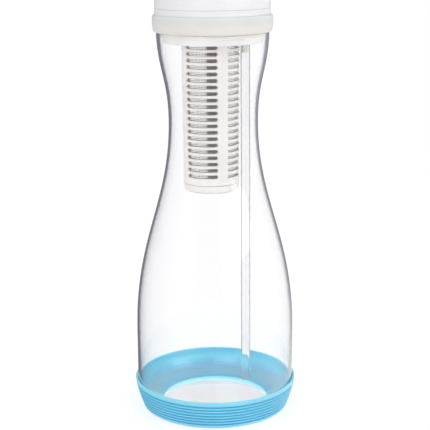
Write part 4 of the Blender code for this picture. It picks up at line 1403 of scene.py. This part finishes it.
def round_about(tree, toward, surround):
    """The colour that a surround has in a direction."""
    part = add(tree, "SeparateXYZ", {"Vector": toward})
    front = add(tree, "Math", {0: part.outputs["Y"], 1: -1.0}, operation="MULTIPLY")
    turn = add(tree, "Math", {0: part.outputs["X"], 1: front.outputs[0]}, operation="ARCTAN2")
    share = add(tree, "MapRange", {"Value": turn.outputs[0], "From Min": -math.pi, "From Max": math.pi})
    stops = [(0.5 + degrees / 360, linear(code)) for degrees, code in surround]
    return add(tree, "ValToRGB", {"Fac": share.outputs["Result"]}, stops).outputs["Color"]


def studio(tree, stage, toward, lit, white):
    """What a ray finds in the studio: the light for surfaces, or what shows straight, mirrored or in glass.

    Glass edges show rays that were caught inside the wall, which leave it in all directions and so look dark.
    """
    ray = ray_history(tree, stage)
    outer = round_about(tree, toward, SURROUND)
    inner = round_about(tree, toward, SURROUND_INSIDE)
    panels = add(tree, "VectorMath", {0: outer, "Scale": stage.panels}, operation="SCALE")
    inside = add(tree, "VectorMath", {0: inner, "Scale": stage.inner}, operation="SCALE")
    light = add(tree, "VectorMath", {0: lit, "Scale": ray.gain}, operation="SCALE")
    straight = add(tree, "VectorMath", {0: white, "Scale": ray.clearing}, operation="SCALE")
    result = straight.outputs[0]
    found = (
        (ray.mirrored, panels.outputs[0]),
        (ray.caught, stage.flag),
        (ray.within, inside.outputs[0]),
        (ray.scattered, light.outputs[0]),
    )
    for share, other in found:
        mix = add(tree, "Mix", {"Factor": share, "A": result, "B": other}, data_type="VECTOR")
        result = mix.outputs["Result"]
    return result


class CARAFE_OT_stage(Operator):
    """Make the floor, the lights and the camera"""

    bl_idname = "carafe.stage"
    bl_label = "Stage"

    def execute(self, context):
        scene = context.scene
        stage = scene.carafe_stage
        self.surround(scene, stage)
        self.floor(stage, scene.carafe_boot.hole_radius)
        self.lamp(scene, "key_light", stage.key, KEY_PLACE)
        self.lamp(scene, "fill_light", stage.fill, FILL_PLACE)
        self.camera(scene, stage)
        scene.view_settings.view_transform = "Standard"
        return {"FINISHED"}

    def surround(self, scene, stage):
        """Even light for surfaces, more of it from above, and white behind everything."""
        world = bpy.data.worlds.new("studio")
        world.use_nodes = True
        scene.world = world
        tree = world.node_tree
        toward = add(tree, "TexCoord").outputs["Generated"]
        up = add(tree, "SeparateXYZ", {"Vector": toward}).outputs["Z"]
        ends = {"From Min": OVERHEAD_FROM, "To Min": stage.ambient, "To Max": stage.overhead}
        light = add(tree, "MapRange", {"Value": up, **ends}, interpolation_type="SMOOTHSTEP")
        found = studio(tree, stage, toward, light.outputs["Result"], [1.0] * 3)
        feed(tree, tree.nodes["Background"], {"Color": found})

    def floor(self, stage, hole):
        """A pale floor that is white to the eye and through glass, and still takes the shadow. Under the
        carafe it glows in a colour of its own, a painted pool of light.
        """
        piece = rod("studio_floor", stage.floor_radius, -FLOOR_DEPTH, 0.0, steps=CORE_STEPS)
        sockets = {"Roughness": 0.7, "Emission Strength": 1.0}
        material, tree, shader = start_material("pale_floor", stage.floor, sockets)
        dress(piece, material)
        ray = ray_history(tree, stage)
        straight = add(tree, "Math", {0: 1.0, 1: ray.mirrored}, operation="SUBTRACT")
        clear = add(tree, "Math", {0: straight.outputs[0], 1: ray.clearing}, operation="MULTIPLY")
        share = add(tree, "Math", {0: clear.outputs[0], 1: ray.gain}, operation="DIVIDE")
        base = add(tree, "VectorMath", {0: stage.floor, "Scale": share.outputs[0]}, operation="SCALE")
        toward = add(tree, "NewGeometry").outputs["Position"]
        reach = add(tree, "VectorMath", {0: toward}, operation="LENGTH").outputs["Value"]
        # Painted light: inside the boot's hole the floor glows in the under colour instead of the lift.
        past = add(tree, "MapRange", {"Value": reach, "From Min": 0.9 * hole, "From Max": hole})
        glow_under_or_lift = {"Factor": past.outputs["Result"], "A": stage.under, "B": [stage.lift] * 3}
        white = add(tree, "Mix", glow_under_or_lift, data_type="VECTOR").outputs["Result"]
        found = studio(tree, stage, toward, [stage.bounce] * 3, white)
        feed(tree, shader, {"Base Color": base.outputs[0], "Emission Color": found})

    def lamp(self, scene, name, power, spot):
        """A square lamp that looks at the middle of the carafe."""
        light = bpy.data.lights.new(name, "AREA")
        light.energy = power
        light.size = LAMP_SIZE
        lamp = bpy.data.objects.new(name, light)
        scene.collection.objects.link(lamp)
        lamp.location = spot
        middle = (CAD_BOX[0] + CAD_BOX[1]) / 2
        lamp.rotation_euler = (middle - lamp.location).to_track_quat("-Z", "Y").to_euler()

    def camera(self, scene, stage):
        """A camera in front of the carafe, looking slightly down."""
        data = bpy.data.cameras.new("photo_camera")
        data.angle = stage.view
        camera = bpy.data.objects.new("photo_camera", data)
        scene.collection.objects.link(camera)
        spot = Matrix.Translation((stage.camera_x, -stage.camera_back, stage.camera_height))
        tilt = Matrix.Rotation(math.pi / 2 - stage.pitch, 4, "X")
        camera.matrix_world = spot @ tilt @ Matrix.Rotation(stage.roll, 4, "Z")
        scene.camera = camera


class CARAFE_PT_pieces(Panel):
    """The carafe's pieces"""

    bl_label = "Filter carafe"
    bl_idname = "CARAFE_PT_pieces"
    bl_space_type = "VIEW_3D"
    bl_region_type = "UI"
    bl_category = "Carafe"

    def draw(self, context):
        for operator in OPERATORS:
            self.layout.operator(operator.bl_idname)
        for group in GROUPS:
            settings = getattr(context.scene, group)
            box = self.layout.box()
            for name in settings.__annotations__:
                box.prop(settings, name)


GROUPS = {
    "carafe_glass": CarafeGlass,
    "carafe_boot": CarafeBoot,
    "carafe_lid": CarafeLid,
    "carafe_filter": CarafeFilter,
    "carafe_stage": CarafeStage,
}
OPERATORS = (
    CARAFE_OT_stage,
    CARAFE_OT_glass,
    CARAFE_OT_boot,
    CARAFE_OT_collar,
    CARAFE_OT_plug,
    CARAFE_OT_air_line,
    CARAFE_OT_cap,
    CARAFE_OT_flap,
    CARAFE_OT_filter_head,
    CARAFE_OT_cage,
    CARAFE_OT_core,
)
CLASSES = (*GROUPS.values(), *OPERATORS, CARAFE_PT_pieces)


def register():
    for item in CLASSES:
        bpy.utils.register_class(item)
    for name, group in GROUPS.items():
        setattr(bpy.types.Scene, name, PointerProperty(type=group))


def unregister():
    for name in GROUPS:
        delattr(bpy.types.Scene, name)
    for item in reversed(CLASSES):
        bpy.utils.unregister_class(item)


def main():
    register()
    for operator in OPERATORS:
        name = operator.bl_idname.split(".")[1]
        getattr(bpy.ops.carafe, name)()


if __name__ == "__main__":
    main()
